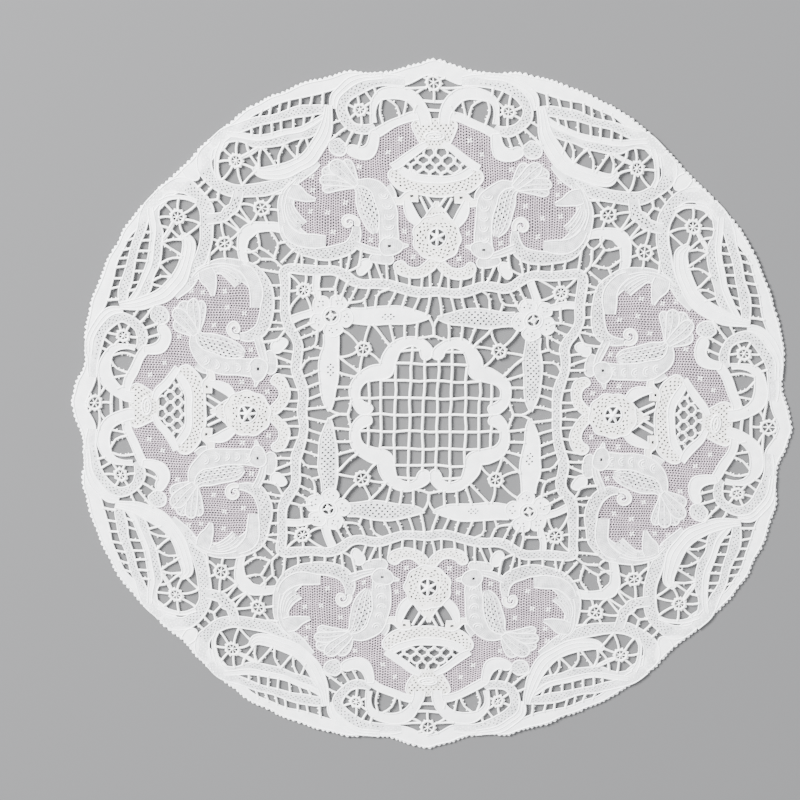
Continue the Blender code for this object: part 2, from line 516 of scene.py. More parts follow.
def worked(band: Band) -> Patch:
    """The close work of one band, as a closed slab with its pinholes.

    Args:
        band: the band to work.

    Returns:
        Its patch, in the half-panel drawing.
    """
    line = band.line()
    run = band.run(line)
    rows = max(2, round(run / band.work.tile))
    columns = max(2, round(line.widest / band.work.tile))
    if band.work.holed and columns % 2 == 0 and columns < ODD_COLUMNS:
        columns += 1
    bm = bmesh.new()
    bmesh.ops.create_grid(bm, x_segments=rows, y_segments=columns, size=1.0)
    bmesh.ops.scale(bm, vec=(run / 2, line.widest / 2, 1.0), verts=bm.verts)
    bmesh.ops.translate(bm, vec=(run / 2, 0.0, 0.0), verts=bm.verts)
    holes = chosen_tiles(bm, band, line, rows, columns)
    if holes:
        margin = band.work.margin * min(run / rows, line.widest / columns)
        bmesh.ops.inset_individual(bm, faces=holes, thickness=margin, use_even_offset=True)
        bmesh.ops.delete(bm, geom=holes, context="FACES")
    raised = bmesh.ops.extrude_face_region(bm, geom=bm.faces[:], use_keep_orig=True)
    top = [item for item in raised["geom"] if isinstance(item, bmesh.types.BMVert)]
    bmesh.ops.translate(bm, vec=(0.0, 0.0, BAND_THICK), verts=top)
    bmesh.ops.recalc_face_normals(bm, faces=bm.faces[:])
    patch = as_patch(bm, band.material_number)
    bm.free()
    if band.closed:
        patch = patch.joined_up(run)
    flat = patch.points
    across = flat[:, 1] / (line.widest / 2)
    on_top = flat[:, 2] > 0
    height = BAND_FLOOR + band.level + flat[:, 2]
    height += np.where(on_top, CROWN * (1 - across**2), 0.0)
    place = band.surface(line, flat[:, 0], across)
    patch.points = np.column_stack([place, height])
    return patch


def chosen_tiles(
    bm: bmesh.types.BMesh, band: Band, line: Line, rows: int, columns: int
) -> list[bmesh.types.BMFace]:
    """The tiles that get a pinhole or an eyelet.

    Args:
        bm: the band's flat grid, x along the run and y across it.
        band: the band being worked.
        line: its middle line.
        rows: tiles along it.
        columns: tiles across it.

    Returns:
        The chosen faces.
    """
    run = band.run(line)
    faces = bm.faces[:]
    middles = np.array([face.calc_center_median()[:2] for face in faces])
    row = np.floor(middles[:, 0] / run * rows).astype(int)
    column = np.floor((middles[:, 1] / line.widest + 0.5) * columns).astype(int)
    keep = np.zeros(len(faces), bool)
    if band.work.holed:
        along, share = band.spread(line, middles[:, 0])
        width = line.at(along)[2] * share
        edged = columns > EDGED_COLUMNS
        inside = (column > 0) & (column < columns - 1) if edged else np.ones(len(faces), bool)
        keep = ((row + column) % 2 == 0) & (width / columns > LEAST_HOLED_TILE) & inside
    for eyelet in band.eyelets:
        place = band.surface(line, middles[:, 0], middles[:, 1] / (line.widest / 2))
        keep[np.argmin(np.hypot(*(place - eyelet).T))] = True
    return [face for face, chosen in zip(faces, keep) if chosen]


def as_patch(bm: bmesh.types.BMesh, finish: int) -> Patch:
    """A bmesh as arrays.

    Args:
        bm: the flat lace, in mm.
        finish: material number of all its faces.

    Returns:
        Its patch, with its own x and y as stitch coordinates.
    """
    mesh = bpy.data.meshes.new("patch")
    bm.to_mesh(mesh)
    points = np.zeros(len(mesh.vertices) * 3)
    mesh.vertices.foreach_get("co", points)
    corners = np.zeros(len(mesh.loops), int)
    mesh.loops.foreach_get("vertex_index", corners)
    sizes = np.zeros(len(mesh.polygons), int)
    mesh.polygons.foreach_get("loop_total", sizes)
    bpy.data.meshes.remove(mesh)
    points = points.reshape(-1, 3)
    return Patch(points, corners, sizes, points[corners, :2] * MM, np.full(len(sizes), finish))


@dataclass
class Ground:
    """Where the close work is, and which band lies uppermost there, on a fine square grid."""

    half: float = 150.0
    cell: float = 0.15
    closeness: float = 0.7  # of the places marked when a band is laid, in cells
    lap: float = 0.35  # how far inside a band's edge it hides what lies under it, mm
    overrun: float = 0.4  # how far a crossing thread runs on into the close work, mm
    least_bare: float = 1.0  # a shorter bare stretch gets no thread, mm
    filled: np.ndarray = field(init=False)
    upper: np.ndarray = field(init=False)
    ranks: dict[Band, int] = field(default_factory=dict)

    def __post_init__(self) -> None:
        """Start with bare table."""
        side = round(2 * self.half / self.cell)
        self.filled = np.zeros((side, side), bool)
        self.upper = np.zeros((side, side), np.int16)

    def cells(self, points: np.ndarray) -> tuple[np.ndarray, np.ndarray]:
        """Row and column of the grid at each place."""
        column, row = ((points + self.half) / self.cell).astype(int).T
        return row, column

    def cover(self, bands: list[Band]) -> None:
        """Lay the bands, the lowest first, in all their copies.

        Args:
            bands: all the bands of the lace.
        """
        for rank, band in enumerate(sorted(bands, key=lambda one: one.level), start=1):
            self.ranks[band] = rank
            line = band.line()
            run = np.arange(0, band.run(line), self.cell * self.closeness)
            across = np.linspace(-1, 1, max(3, int(line.widest / self.cell / self.closeness)))
            runs, sides = (grid.ravel() for grid in np.meshgrid(run, across))
            along, share = band.spread(line, runs)
            width = line.at(along)[2] * share
            deep = (1 - np.abs(sides)) * width / 2 > self.lap
            place = band.surface(line, runs, sides)
            for quarter, mirrored in band.copies.placements():
                cells = self.cells(placed(place, quarter, mirrored))
                self.filled[cells] = True
                inner = tuple(index[deep] for index in cells)
                self.upper[inner] = rank

    def uncovered(
        self, points: np.ndarray, closed: bool, rank: int = 0, copies: Copies = Copies.HALF_PANELS
    ) -> list[tuple[np.ndarray, bool]]:
        """The stretches of a line that no higher band hides.

        Args:
            points: rows of x and y, mm, close together.
            closed: whether the line is a ring.
            rank: rank of the band that it lies on, 0 for a line between the bands.
            copies: how often the line is repeated.

        Returns:
            Each stretch's points, and whether it is still a ring.
        """
        seen = self.upper[self.cells(placed(points, *copies.placements()[0]))] <= rank
        if seen.all():
            return [(points, closed)]
        if closed:
            first = int(np.argmin(seen))
            points, seen = np.roll(points, -first, axis=0), np.roll(seen, -first)
        turns = np.flatnonzero(np.diff(np.concatenate([[0], seen.astype(int), [0]])))
        stretches = turns.reshape(-1, 2)
        return [(points[low:high], False) for low, high in stretches if high - low > LEAST_SEEN]

    def reach(self, start: np.ndarray, toward: np.ndarray, limit: float) -> np.ndarray:
        """The first close work met from a place in a direction.

        Args:
            start: x and y, mm.
            toward: direction.
            limit: how far to look, mm.

        Returns:
            The place a little inside that close work, or start where none is met.
        """
        toward = np.asarray(toward, float) / (math.hypot(*toward) + TINY)
        steps = np.arange(0, limit, self.cell / 2)
        path = np.asarray(start, float) + steps[:, None] * toward
        hit = self.filled[self.cells(path)]
        if not hit.any():
            return np.asarray(start, float)
        return path[int(np.argmax(hit))] + TUCK * toward

    def open_runs(self, start: np.ndarray, toward: np.ndarray, length: float) -> list[Place]:
        """The bare stretches of a straight line, each carried a little into the close work.

        Args:
            start: x and y where the line starts, mm.
            toward: its direction, one mm long.
            length: its length, mm.

        Returns:
            Starts and stops along the line, mm.
        """
        steps = np.arange(0, length, self.cell)
        bare = ~self.filled[self.cells(start + steps[:, None] * toward)]
        turns = np.flatnonzero(np.diff(np.concatenate([[0], bare.astype(int), [0]])))
        runs = [(steps[low], steps[min(high, len(steps) - 1)]) for low, high in turns.reshape(-1, 2)]
        over = self.overrun
        return [(low - over, high + over) for low, high in runs if high - low > self.least_bare]


@dataclass
class Skein:
    """Threads waiting to be laid: each a run of x, y, z and radius, mm."""

    runs: list[tuple[np.ndarray, bool, Copies]] = field(default_factory=list)

    def add(
        self,
        points: np.ndarray,
        height: float,
        radius: float | np.ndarray,
        closed: bool = False,
        copies: Copies = Copies.HALF_PANELS,
    ) -> None:
        """Add one thread.

        Args:
            points: rows of x and y, mm.
            height: height of its middle over the underside, mm, one value or one a point.
            radius: its radius, mm, one value or one a point.
            closed: whether it is a ring.
            copies: how often it is repeated.
        """
        points = np.asarray(points, float)
        radii = np.broadcast_to(radius, len(points))
        heights = np.maximum(height, radii + LEAST_CLEARANCE)
        run = np.column_stack([points, heights, radii])
        self.runs.append((run, closed, copies))

    def mesh(self, name: str, lie: Lie, roundness: int) -> bpy.types.Mesh:
        """All the threads laid down as one mesh of round strands.

        Args:
            name: the mesh's name.
            lie: how the lace lies.
            roundness: the curve's bevel resolution.

        Returns:
            The mesh, in metres.
        """
        curve = bpy.data.curves.new(name, "CURVE")
        curve.dimensions = "3D"
        curve.bevel_depth = MM
        curve.bevel_resolution = roundness
        curve.use_fill_caps = True
        for run, closed, copies in self.runs:
            for quarter, mirrored in copies.placements():
                laid = lie.laid(placed(run[:, :3], quarter, mirrored)) * MM
                spline = curve.splines.new("POLY")
                spline.points.add(len(laid) - 1)
                spline.points.foreach_set("co", np.column_stack([laid, np.ones(len(laid))]).ravel())
                spline.points.foreach_set("radius", run[:, 3])
                spline.use_cyclic_u = closed
        holder = bpy.data.objects.new(name, curve)
        mesh = bpy.data.meshes.new_from_object(holder)
        bpy.data.objects.remove(holder)
        bpy.data.curves.remove(curve)
        mesh.name = name
        return mesh


@dataclass(frozen=True)
class Linen:
    """Linen thread, worked: its colour, a darker tone that it is mottled with at random, and how fine its
    stitch is.
    """

    name: str
    tone: tuple[float, float, float]
    shade: tuple[float, float, float]
    stitch: float = 0.0  # pitch of the close work's threads, mm; 0 for single strands
    relief: float = 0.05  # depth of the stitch, mm
    mottle: float = 260.0  # how fine the change of tone is, per metre
    mottle_detail: float = 5.0
    tone_range: Place = (0.32, 0.62)  # mottle at which the shade ends and the full tone starts
    roughness: float = 0.82
    sheen: float = 0.12
    sheen_roughness: float = 0.6
    relief_strength: float = 0.8
    twist: float = 0.5  # pitch of a single strand's twist, mm
    twist_stray: float = 1.5
    stitch_stray: float = 0.6
    stitch_detail: float = 1.0

    def material(self) -> bpy.types.Material:
        """The finish as a material, made once.

        Returns:
            The material.
        """
        known = bpy.data.materials.get(self.name)
        if known:
            return known
        material = bpy.data.materials.new(self.name)
        material.use_nodes = True
        tree = material.node_tree
        shader = tree.nodes["Principled BSDF"]
        shader.inputs["Roughness"].default_value = self.roughness
        shader.inputs["Sheen Weight"].default_value = self.sheen
        shader.inputs["Sheen Roughness"].default_value = self.sheen_roughness
        coords = tree.nodes.new("ShaderNodeTexCoord")
        noise = tree.nodes.new("ShaderNodeTexNoise")
        noise.inputs["Scale"].default_value = self.mottle
        noise.inputs["Detail"].default_value = self.mottle_detail
        tree.links.new(coords.outputs["Object"], noise.inputs["Vector"])
        ramp = tree.nodes.new("ShaderNodeValToRGB")
        stops = zip(ramp.color_ramp.elements, self.tone_range, (self.shade, self.tone))
        for stop, position, colour in stops:
            stop.position = position
            stop.color = (*colour, 1.0)
        tree.links.new(noise.outputs["Fac"], ramp.inputs["Fac"])
        tree.links.new(ramp.outputs["Color"], shader.inputs["Base Color"])
        bump = tree.nodes.new("ShaderNodeBump")
        bump.inputs["Distance"].default_value = self.relief * MM
        bump.inputs["Strength"].default_value = self.relief_strength
        tree.links.new(self.height(tree, coords), bump.inputs["Height"])
        tree.links.new(bump.outputs["Normal"], shader.inputs["Normal"])
        return material

    def height(self, tree: bpy.types.NodeTree, coords: bpy.types.Node) -> bpy.types.NodeSocket:
        """The relief of the threads: crossed for close work, twisted for a single strand.

        Args:
            tree: the material's nodes.
            coords: its texture coordinates.

        Returns:
            The socket that holds the height.
        """
        if not self.stitch:
            twist = tree.nodes.new("ShaderNodeTexWave")
            twist.bands_direction = "DIAGONAL"
            twist.inputs["Scale"].default_value = WAVE_PERIOD / (self.twist * MM)
            twist.inputs["Distortion"].default_value = self.twist_stray
            tree.links.new(coords.outputs["Object"], twist.inputs["Vector"])
            return twist.outputs["Fac"]
        threads = []
        for direction in ("X", "Y"):
            wave = tree.nodes.new("ShaderNodeTexWave")
            wave.bands_direction = direction
            wave.inputs["Scale"].default_value = WAVE_PERIOD / (self.stitch * MM)
            wave.inputs["Distortion"].default_value = self.stitch_stray
            wave.inputs["Detail"].default_value = self.stitch_detail
            tree.links.new(coords.outputs["UV"], wave.inputs["Vector"])
            threads.append(wave.outputs["Fac"])
        crossed = tree.nodes.new("ShaderNodeMath")
        crossed.operation = "MULTIPLY"
        tree.links.new(threads[0], crossed.inputs[0])
        tree.links.new(threads[1], crossed.inputs[1])
        return crossed.outputs["Value"]


CLOSE_WHITE = Linen("close_worked_linen", (0.87, 0.875, 0.88), (0.76, 0.77, 0.78), stitch=0.42)
CLOSE_CREAM = Linen("close_worked_cream", (0.81, 0.80, 0.772), (0.67, 0.66, 0.63), stitch=0.42)
# Pinholed work is painted darker than plain work: painted shade for the shadow in its many small holes.
CLOSE_DOTTED_SHADED = Linen("pinholed_linen_painted_shade", (0.68, 0.685, 0.695), (0.50, 0.51, 0.52), stitch=0.42)
# The figures' close work is painted darker than plain work, with a deeper darker mottle: painted shade of
# their relief and holes, so that their brighter outline cords stand out.
CLOSE_FIGURE_SHADED = Linen(
    "figure_linen_painted_shade", (0.64, 0.64, 0.65), (0.42, 0.425, 0.435), stitch=0.6, relief=0.12, mottle=420.0
)
CORD_WHITE = Linen("outline_cord", (0.93, 0.935, 0.94), (0.84, 0.85, 0.86), relief=0.04)
BAR_WHITE = Linen("buttonholed_bars", (0.90, 0.905, 0.90), (0.78, 0.785, 0.78), relief=0.06)
# The net's thread is painted dark grey-mauve, much darker than the other work: painted shade for the dark
# gaps between its threads.
NET_PAINTED_SHADE = Linen("net_thread_painted_shade", (0.50, 0.42, 0.475), (0.41, 0.34, 0.39), relief=0.02)


def joined(name: str, bands: list[Band], lie: Lie) -> bpy.types.Mesh:
    """The close work of many bands, in all their copies, as one mesh.

    Args:
        name: the mesh's name.
        bands: the bands.
        lie: how the lace lies.

    Returns:
        The mesh, in metres.
    """
    points, corners, sizes, stitch, finish = [], [], [], [], []
    count = 0
    for band in bands:
        patch = worked(band)
        turned_over = patch.flipped()
        for quarter, mirrored in band.copies.placements():
            copy = turned_over if mirrored else patch
            points.append(lie.laid(placed(copy.points, quarter, mirrored)) * MM)
            corners.append(copy.corners + count)
            sizes.append(copy.sizes)
            stitch.append(copy.stitch)
            finish.append(copy.finish)
            count += len(copy.points)
    sizes_all = np.concatenate(sizes)
    corners_all = np.concatenate(corners)
    mesh = bpy.data.meshes.new(name)
    mesh.vertices.add(count)
    mesh.vertices.foreach_set("co", np.concatenate(points).ravel())
    mesh.loops.add(len(corners_all))
    mesh.loops.foreach_set("vertex_index", corners_all)
    mesh.polygons.add(len(sizes_all))
    mesh.polygons.foreach_set("loop_start", np.concatenate([[0], np.cumsum(sizes_all)[:-1]]))
    mesh.polygons.foreach_set("material_index", np.concatenate(finish))
    mesh.uv_layers.new(name="stitch").data.foreach_set("uv", np.concatenate(stitch).ravel())
    mesh.update(calc_edges=True)
    mesh.validate()
    return mesh


def dressed(mesh: bpy.types.Mesh, *finishes: Linen, sharp: float = 50.0) -> bpy.types.Object:
    """A piece of the doily: the mesh as an object, with its finishes, riding on the lace.

    Args:
        mesh: the finished mesh.
        finishes: its finishes, in the order of its material numbers.
        sharp: angle past which an edge is not smoothed, degrees.

    Returns:
        The piece.
    """
    for finish in finishes:
        mesh.materials.append(finish.material())
    mesh.shade_smooth()
    mesh.set_sharp_from_angle(angle=math.radians(sharp))
    piece = bpy.data.objects.new(mesh.name, mesh)
    bpy.context.scene.collection.objects.link(piece)
    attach(piece, "root")
    return piece


@dataclass(frozen=True)
class Edge:
    """The lace's scalloped edge: its outline, its close-worked rim and its loops.

    outline holds (degrees from the panel's axis, radius), and rim the rim's width at such bearings.
    """

    outline: tuple[Place, ...] = (
        (0.0, 130.3), (3.6, 128.6), (6.2, 126.6), (9.5, 127.4), (14.0, 129.4), (22.0, 129.8),
        (31.0, 130.2), (38.5, 129.2), (45.0, 127.8),
    )
    rim: tuple[Place, ...] = (
        (0.0, 4.8), (1.9, 4.7), (3.3, 5.2), (4.5, 5.9), (5.4, 4.8), (6.6, 3.4), (9.5, 3.0),
        (14.0, 3.4), (18.0, 4.8), (22.0, 4.0), (25.0, 2.8), (29.0, 2.4), (31.5, 2.8), (35.0, 4.4),
        (39.0, 5.4), (45.0, 5.6),
    )
    steps: int = 26  # stations of the rim along each half panel
    inset: float = 0.5  # how far the close work stops inside the loops, mm
    foot_inset: float = 0.25  # how much further in the loops start
    loop_pitch: float = 1.82
    loop_radius: float = 0.26
    loop_stray: float = 0.12  # of a loop's place, in pitches
    loop_tall: Place = (0.75, 1.05)  # least and greatest height of a loop, mm
    loop_shape: tuple[Place, ...] = (  # distance along the edge, mm, and share of the loop's height
        (-0.75, 0.0), (-0.5, 0.62), (0.0, 1.0), (0.5, 0.62), (0.75, 0.0),
    )
    loop_level: float = 0.42
    knot_foot: float = 0.15  # how far out the knot in a loop starts, mm
    knot_top: float = 0.75  # share of the loop's height that it reaches
    knot_radii: Place = (0.45, 0.3)
    seed: int = 7

    def radius(self, bearing: float) -> float:
        """How far out the edge is.

        Args:
            bearing: degrees from the nearest panel's axis, 0 to 45.

        Returns:
            Its radius there, mm.
        """
        for (low, low_radius), (high, high_radius) in zip(self.outline, self.outline[1:]):
            if bearing <= high:
                ease = (1 - math.cos(math.pi * (bearing - low) / (high - low))) / 2
                return low_radius + (high_radius - low_radius) * ease
        return self.outline[-1][1]

    def stations(self, inset: float) -> Route:
        """The edge all round, anticlockwise.

        Args:
            inset: how far inside the outline it runs, mm.

        Returns:
            Its stations, each as wide as the rim is there.
        """
        stations = []
        total = 2 * QUARTERS * self.steps
        for step in range(total):
            bearing = 360.0 * step / total
            from_axis = abs((bearing + 45.0) % 90.0 - 45.0)
            radius = self.radius(from_axis) - inset
            width = float(np.interp(from_axis, *zip(*self.rim)))
            angle = math.radians(bearing)
            stations.append((radius * math.cos(angle), radius * math.sin(angle), width))
        return tuple(stations)

    def bands(self) -> list[Band]:
        """The rim, which lies wholly inside the outline."""
        return [Band(self.stations(self.inset), closed=True, copies=Copies.ONCE, side=1.0)]

    def loops(self, skein: Skein) -> None:
        """A small buttonholed loop with a knot in it, every loop_pitch along the edge.

        Args:
            skein: the threads to add to.
        """
        line = Line(self.stations(self.inset + self.foot_inset), closed=True)
        count = round(line.length / self.loop_pitch)
        aside, share = np.array(self.loop_shape).T
        dice = random.Random(self.seed)
        for index in range(count):
            stray = dice.uniform(-self.loop_stray, self.loop_stray)
            middle = (index + 0.5 + stray) * line.length / count
            tall = dice.uniform(*self.loop_tall)
            place, left, _ = line.at((middle + aside) % line.length)
            loop = place - left * (tall * share)[:, None]
            skein.add(loop, self.loop_level, self.loop_radius, copies=Copies.ONCE)
            place, left, _ = line.at(np.array([middle % line.length]))
            knot = np.vstack([place - left * self.knot_foot, place - left * tall * self.knot_top])
            skein.add(knot, self.loop_level, np.array(self.knot_radii), copies=Copies.ONCE)


@dataclass(frozen=True)
class Border:
    """The bands between the rim and the panels: arches, curls, stems, hooks and fans."""

    arch: Route = (
        (3.2, 107.2, 4.2), (3.7, 110.6, 4.1), (5.6, 114.4, 4.4), (8.6, 117.3, 4.7), (12.2, 118.4, 4.6),
        (16.0, 118.2, 4.2), (19.4, 117.0, 3.2), (21.5, 114.6, 2.4), (22.0, 110.8, 1.6), (21.6, 107.4, 2.0),
    )
    arch_foot: Route = (
        (4.6, 110.2, 2.6), (8.4, 109.8, 3.0), (13.4, 107.8, 3.0), (18.4, 105.3, 3.0), (21.8, 103.2, 3.2),
    )
    curl: Route = (
        (10.0, 122.6, 3.2), (15.0, 122.9, 3.8), (20.5, 122.3, 4.0), (26.0, 120.4, 4.2), (30.6, 117.3, 4.0),
        (33.0, 113.2, 3.4), (32.3, 109.4, 3.6), (29.4, 106.0, 3.3), (25.6, 104.9, 3.6), (22.6, 105.4, 2.8),
        (21.2, 106.4, 2.0),
    )
    curl_back: Route = (
        (18.0, 124.6, 2.2), (25.0, 123.9, 2.6), (31.2, 121.0, 3.4), (35.0, 117.0, 3.2), (35.8, 112.4, 2.2),
    )
    lobe: Route = (
        (21.4, 104.0, 3.0), (22.0, 100.4, 3.8), (23.4, 97.4, 4.8), (26.0, 96.3, 4.4), (28.8, 96.9, 4.2),
        (31.2, 98.4, 3.4),
    )
    dotted_lobe: Route = ((31.4, 98.6, 5.0), (34.3, 98.4, 6.8), (37.6, 99.6, 4.6))
    stem: Route = (
        (37.4, 113.6, 2.4), (38.2, 109.0, 3.4), (39.2, 104.4, 4.8), (40.8, 100.2, 5.4), (43.2, 96.4, 5.6),
        (46.6, 93.0, 5.4), (52.2, 90.0, 5.2), (58.0, 88.6, 4.8), (62.4, 88.4, 4.0), (65.2, 90.6, 1.4),
    )
    hook: Route = (
        (41.8, 92.6, 1.6), (45.2, 89.4, 3.0), (49.6, 86.5, 3.8), (54.0, 84.7, 4.2), (58.8, 83.1, 4.6),
        (63.6, 82.0, 4.6), (68.4, 81.7, 4.7), (73.2, 81.9, 4.9), (77.4, 83.5, 4.8), (80.9, 86.2, 4.6),
        (83.0, 89.6, 5.4), (83.2, 93.2, 5.6), (81.4, 97.6, 3.4),
    )
    fan_rib: Route = (
        (36.8, 111.8, 3.0), (41.0, 112.2, 3.4), (46.0, 111.3, 4.1), (50.0, 110.5, 3.6), (54.0, 109.4, 3.1),
        (58.0, 108.4, 2.9), (62.0, 107.5, 2.9), (66.0, 106.3, 3.1), (71.0, 104.7, 3.8), (76.0, 102.2, 4.4),
        (80.6, 98.6, 3.6),
    )
    fan_vein: Route = (
        (38.2, 110.6, 1.2), (42.0, 107.9, 1.4), (46.0, 105.7, 1.6), (50.0, 104.1, 1.7), (55.0, 102.8, 1.8),
        (60.0, 101.8, 1.8), (66.0, 101.4, 2.0), (71.0, 102.0, 2.0), (75.0, 102.4, 1.6),
    )
    fan_foot: Route = (
        (38.6, 109.0, 1.2), (41.2, 105.8, 2.4), (45.0, 103.4, 3.2), (50.0, 102.0, 2.4), (55.0, 100.4, 3.2),
        (60.0, 99.6, 3.4), (65.0, 99.2, 2.8), (69.5, 100.6, 2.4), (75.0, 100.3, 2.2), (79.5, 98.4, 3.2),
    )
    shoulder: Route = (
        (76.8, 99.6, 1.8), (78.2, 96.2, 1.5), (78.8, 92.4, 1.2), (78.7, 88.6, 1.2), (77.6, 85.4, 1.6),
    )
    rungs: tuple[Place, ...] = ((115.6, 4.6), (112.3, 3.0), (109.0, 2.8))  # height and half width
    rung_width: float = 0.5

    def bands(self) -> list[Band]:
        """All the border's bands.

        Returns:
            The bands.
        """
        wide = self.rung_width
        rungs = [
            Band(((-reach, height, wide), (reach, height, wide)), copies=Copies.PANELS)
            for height, reach in self.rungs
        ]
        return rungs + [
            Band(self.arch, level=0.06),
            Band(self.arch_foot, level=0.04),
            Band(self.curl, Work.PINHOLED, level=0.02),
            Band(self.curl_back, level=0.05, veins=1),
            Band(self.lobe, finish=End.ROUND, level=0.07),
            Band(self.dotted_lobe, Work.PINHOLED, End.ROUND, End.ROUND, level=0.03),
            Band(self.stem, level=0.08, veins=2),
            Band(self.shoulder, level=0.04),
            Band(self.hook, Work.PINHOLED, level=0.01),
            Band(self.fan_rib, Work.PINHOLED, level=0.03),
            Band(self.fan_vein, level=0.06),
            Band(self.fan_foot, Work.PINHOLED, level=0.0),
        ]


@dataclass(frozen=True)
class Corner:
    """The lace on a diagonal between two panels: dotted bridge, angle band and button."""

    bridge: Route = ((70.8, 81.6, 3.6), (71.4, 78.4, 3.6), (72.4, 75.2, 4.0), (74.2, 74.2, 4.2))
    angle: Route = (
        (53.4, 67.2, 2.4), (57.0, 68.4, 3.0), (61.0, 68.7, 3.4), (64.8, 68.3, 4.2), (66.8, 66.8, 4.8),
    )
    button: Route = ((85.6, 85.6, 2.4), (87.8, 87.8, 5.2), (90.0, 90.0, 4.0))

    def bands(self) -> list[Band]:
        """The corner's bands.

        Returns:
            The bands.
        """
        return [
            Band(across_diagonal(self.bridge), Work.OPENED, copies=Copies.PANELS, level=0.04),
            Band(across_diagonal(self.angle), copies=Copies.PANELS, level=0.02),
            Band(self.button, start=End.ROUND, copies=Copies.PANELS, level=0.1),
        ]


@dataclass(frozen=True)
class Braid:
    """The wavy pinholed braid that runs all round inside the panels, and its buds."""

    middle: Route = (
        (0.0, 46.1, 3.4), (5.0, 45.7, 3.2), (9.0, 46.1, 3.2), (13.0, 47.3, 3.3), (17.0, 48.4, 3.4),
        (21.0, 48.4, 3.4), (25.0, 48.0, 3.4), (28.4, 49.0, 3.4), (31.6, 51.2, 3.6), (35.6, 52.7, 3.5),
        (41.0, 52.9, 3.3), (47.5, 53.1, 3.3), (52.9, 52.9, 3.4),
    )
    bud: Route = ((26.8, 51.8, 2.4), (25.4, 54.6, 4.6), (23.2, 56.8, 4.0))

    def bands(self) -> list[Band]:
        """The braid and the buds between it and the panels.

        Returns:
            The bands.
        """
        return [
            Band(all_round(self.middle), Work.PINHOLED, closed=True, copies=Copies.ONCE, level=0.03),
            Band(self.bud, start=End.ROUND, finish=End.ROUND, level=0.06),
        ]


@dataclass(frozen=True)
class SquareFrame:
    """The square of long leaves round the medallion, with a flower in each corner."""

    leaf: Route = (
        (1.4, 36.4, 0.8), (5.0, 36.5, 3.8), (10.0, 36.9, 5.8), (16.0, 36.8, 7.0), (21.0, 36.6, 7.2),
        (25.6, 36.3, 6.0), (29.4, 36.4, 5.4),
    )
    leaf_spot: Place = (16.6, 36.7)
    leaf_holes: tuple[Place, ...] = (
        (0.0, 0.0), (-0.9, 0.9), (0.9, 0.9), (-0.9, -0.9), (0.9, -0.9), (-1.8, 0.0), (1.8, 0.0),
    )
    flower: Place = (36.4, 36.4)
    petals: int = 5
    first_petal: float = 45.0  # its bearing, degrees
    petal_root: Place = (0.2, 3.4)  # distance past the eye, and width there, mm
    petal_middle: Place = (5.4, 6.8)  # distance from the flower's middle, and width there, mm
    petal_tip: Place = (8.2, 4.6)
    diamond_reach: float = 5.5  # from the flower's middle to the four holes on a petal, mm
    diamond: float = 0.95
    eye: float = 2.3
    ring_width: float = 1.0
    ring_stations: int = 12
    hub: float = 0.7
    hub_points: int = 10
    hub_thread: float = 0.42
    spokes: tuple[float, ...] = (14.0, 100.0, 188.0, 282.0)  # degrees
    spoke_reach: float = 2.7
    spoke_thread: float = 0.36
    eye_level: float = 0.45
    sprig: Route = ((37.4, 42.4, 3.2), (36.4, 46.0, 2.6), (34.4, 51.2, 2.6))
    tendril: Route = ((42.0, 41.0, 1.6), (44.6, 41.4, 2.4), (47.6, 42.0, 2.2), (51.4, 42.0, 2.2))

    def bands(self) -> list[Band]:
        """The leaves, solid and pinholed turn about, and the corner flowers.

        Returns:
            The bands.
        """
        spots = tuple((self.leaf_spot[0] + x, self.leaf_spot[1] + y) for x, y in self.leaf_holes)
        found = [
            Band(self.leaf, Work.OPENED, copies=Copies.LEFT_FOUR, level=0.03),
            Band(self.leaf, Work.FINE, copies=Copies.RIGHT_FOUR, level=0.03, eyelets=spots),
            Band(self.sprig, copies=Copies.PANELS, level=0.02),
            Band(self.tendril, copies=Copies.PANELS, level=0.05),
        ]
        root = (self.eye + self.petal_root[0], self.petal_root[1])
        for index in range(self.petals):
            toward = pointing(math.radians(self.first_petal + 360.0 * index / self.petals))
            stations = tuple(
                (*(self.flower + reach * toward), width)
                for reach, width in (root, self.petal_middle, self.petal_tip)
            )
            steps = (toward, -toward, leftward(toward), -leftward(toward))
            middle_hole = self.flower + self.diamond_reach * toward
            holes = tuple(tuple(middle_hole + self.diamond * step) for step in steps)
            look = {"level": 0.04 + 0.02 * (index % 2), "eyelets": holes}
            found.append(Band(stations, Work.FINE, finish=End.ROUND, copies=Copies.PANELS, **look))
        middle = self.eye + self.ring_width / 2
        ring = oval(self.flower, middle, middle, full_turn(self.ring_stations))
        stations = tuple((x, y, self.ring_width) for x, y in ring)
        found.append(Band(stations, closed=True, copies=Copies.PANELS, level=0.09))
        return found

    def threads(self, skein: Skein) -> None:
        """Four threads that cross the flower's eye, and the hub that they carry.

        Args:
            skein: the threads to add to.
        """
        for turn in self.spokes:
            outer = self.flower + self.spoke_reach * pointing(math.radians(turn))
            spoke = np.vstack([self.flower, outer])
            skein.add(spoke, self.eye_level, self.spoke_thread, copies=Copies.PANELS)
        hub = oval(self.flower, self.hub, self.hub, full_turn(self.hub_points))
        skein.add(hub, self.eye_level, self.hub_thread, closed=True, copies=Copies.PANELS)


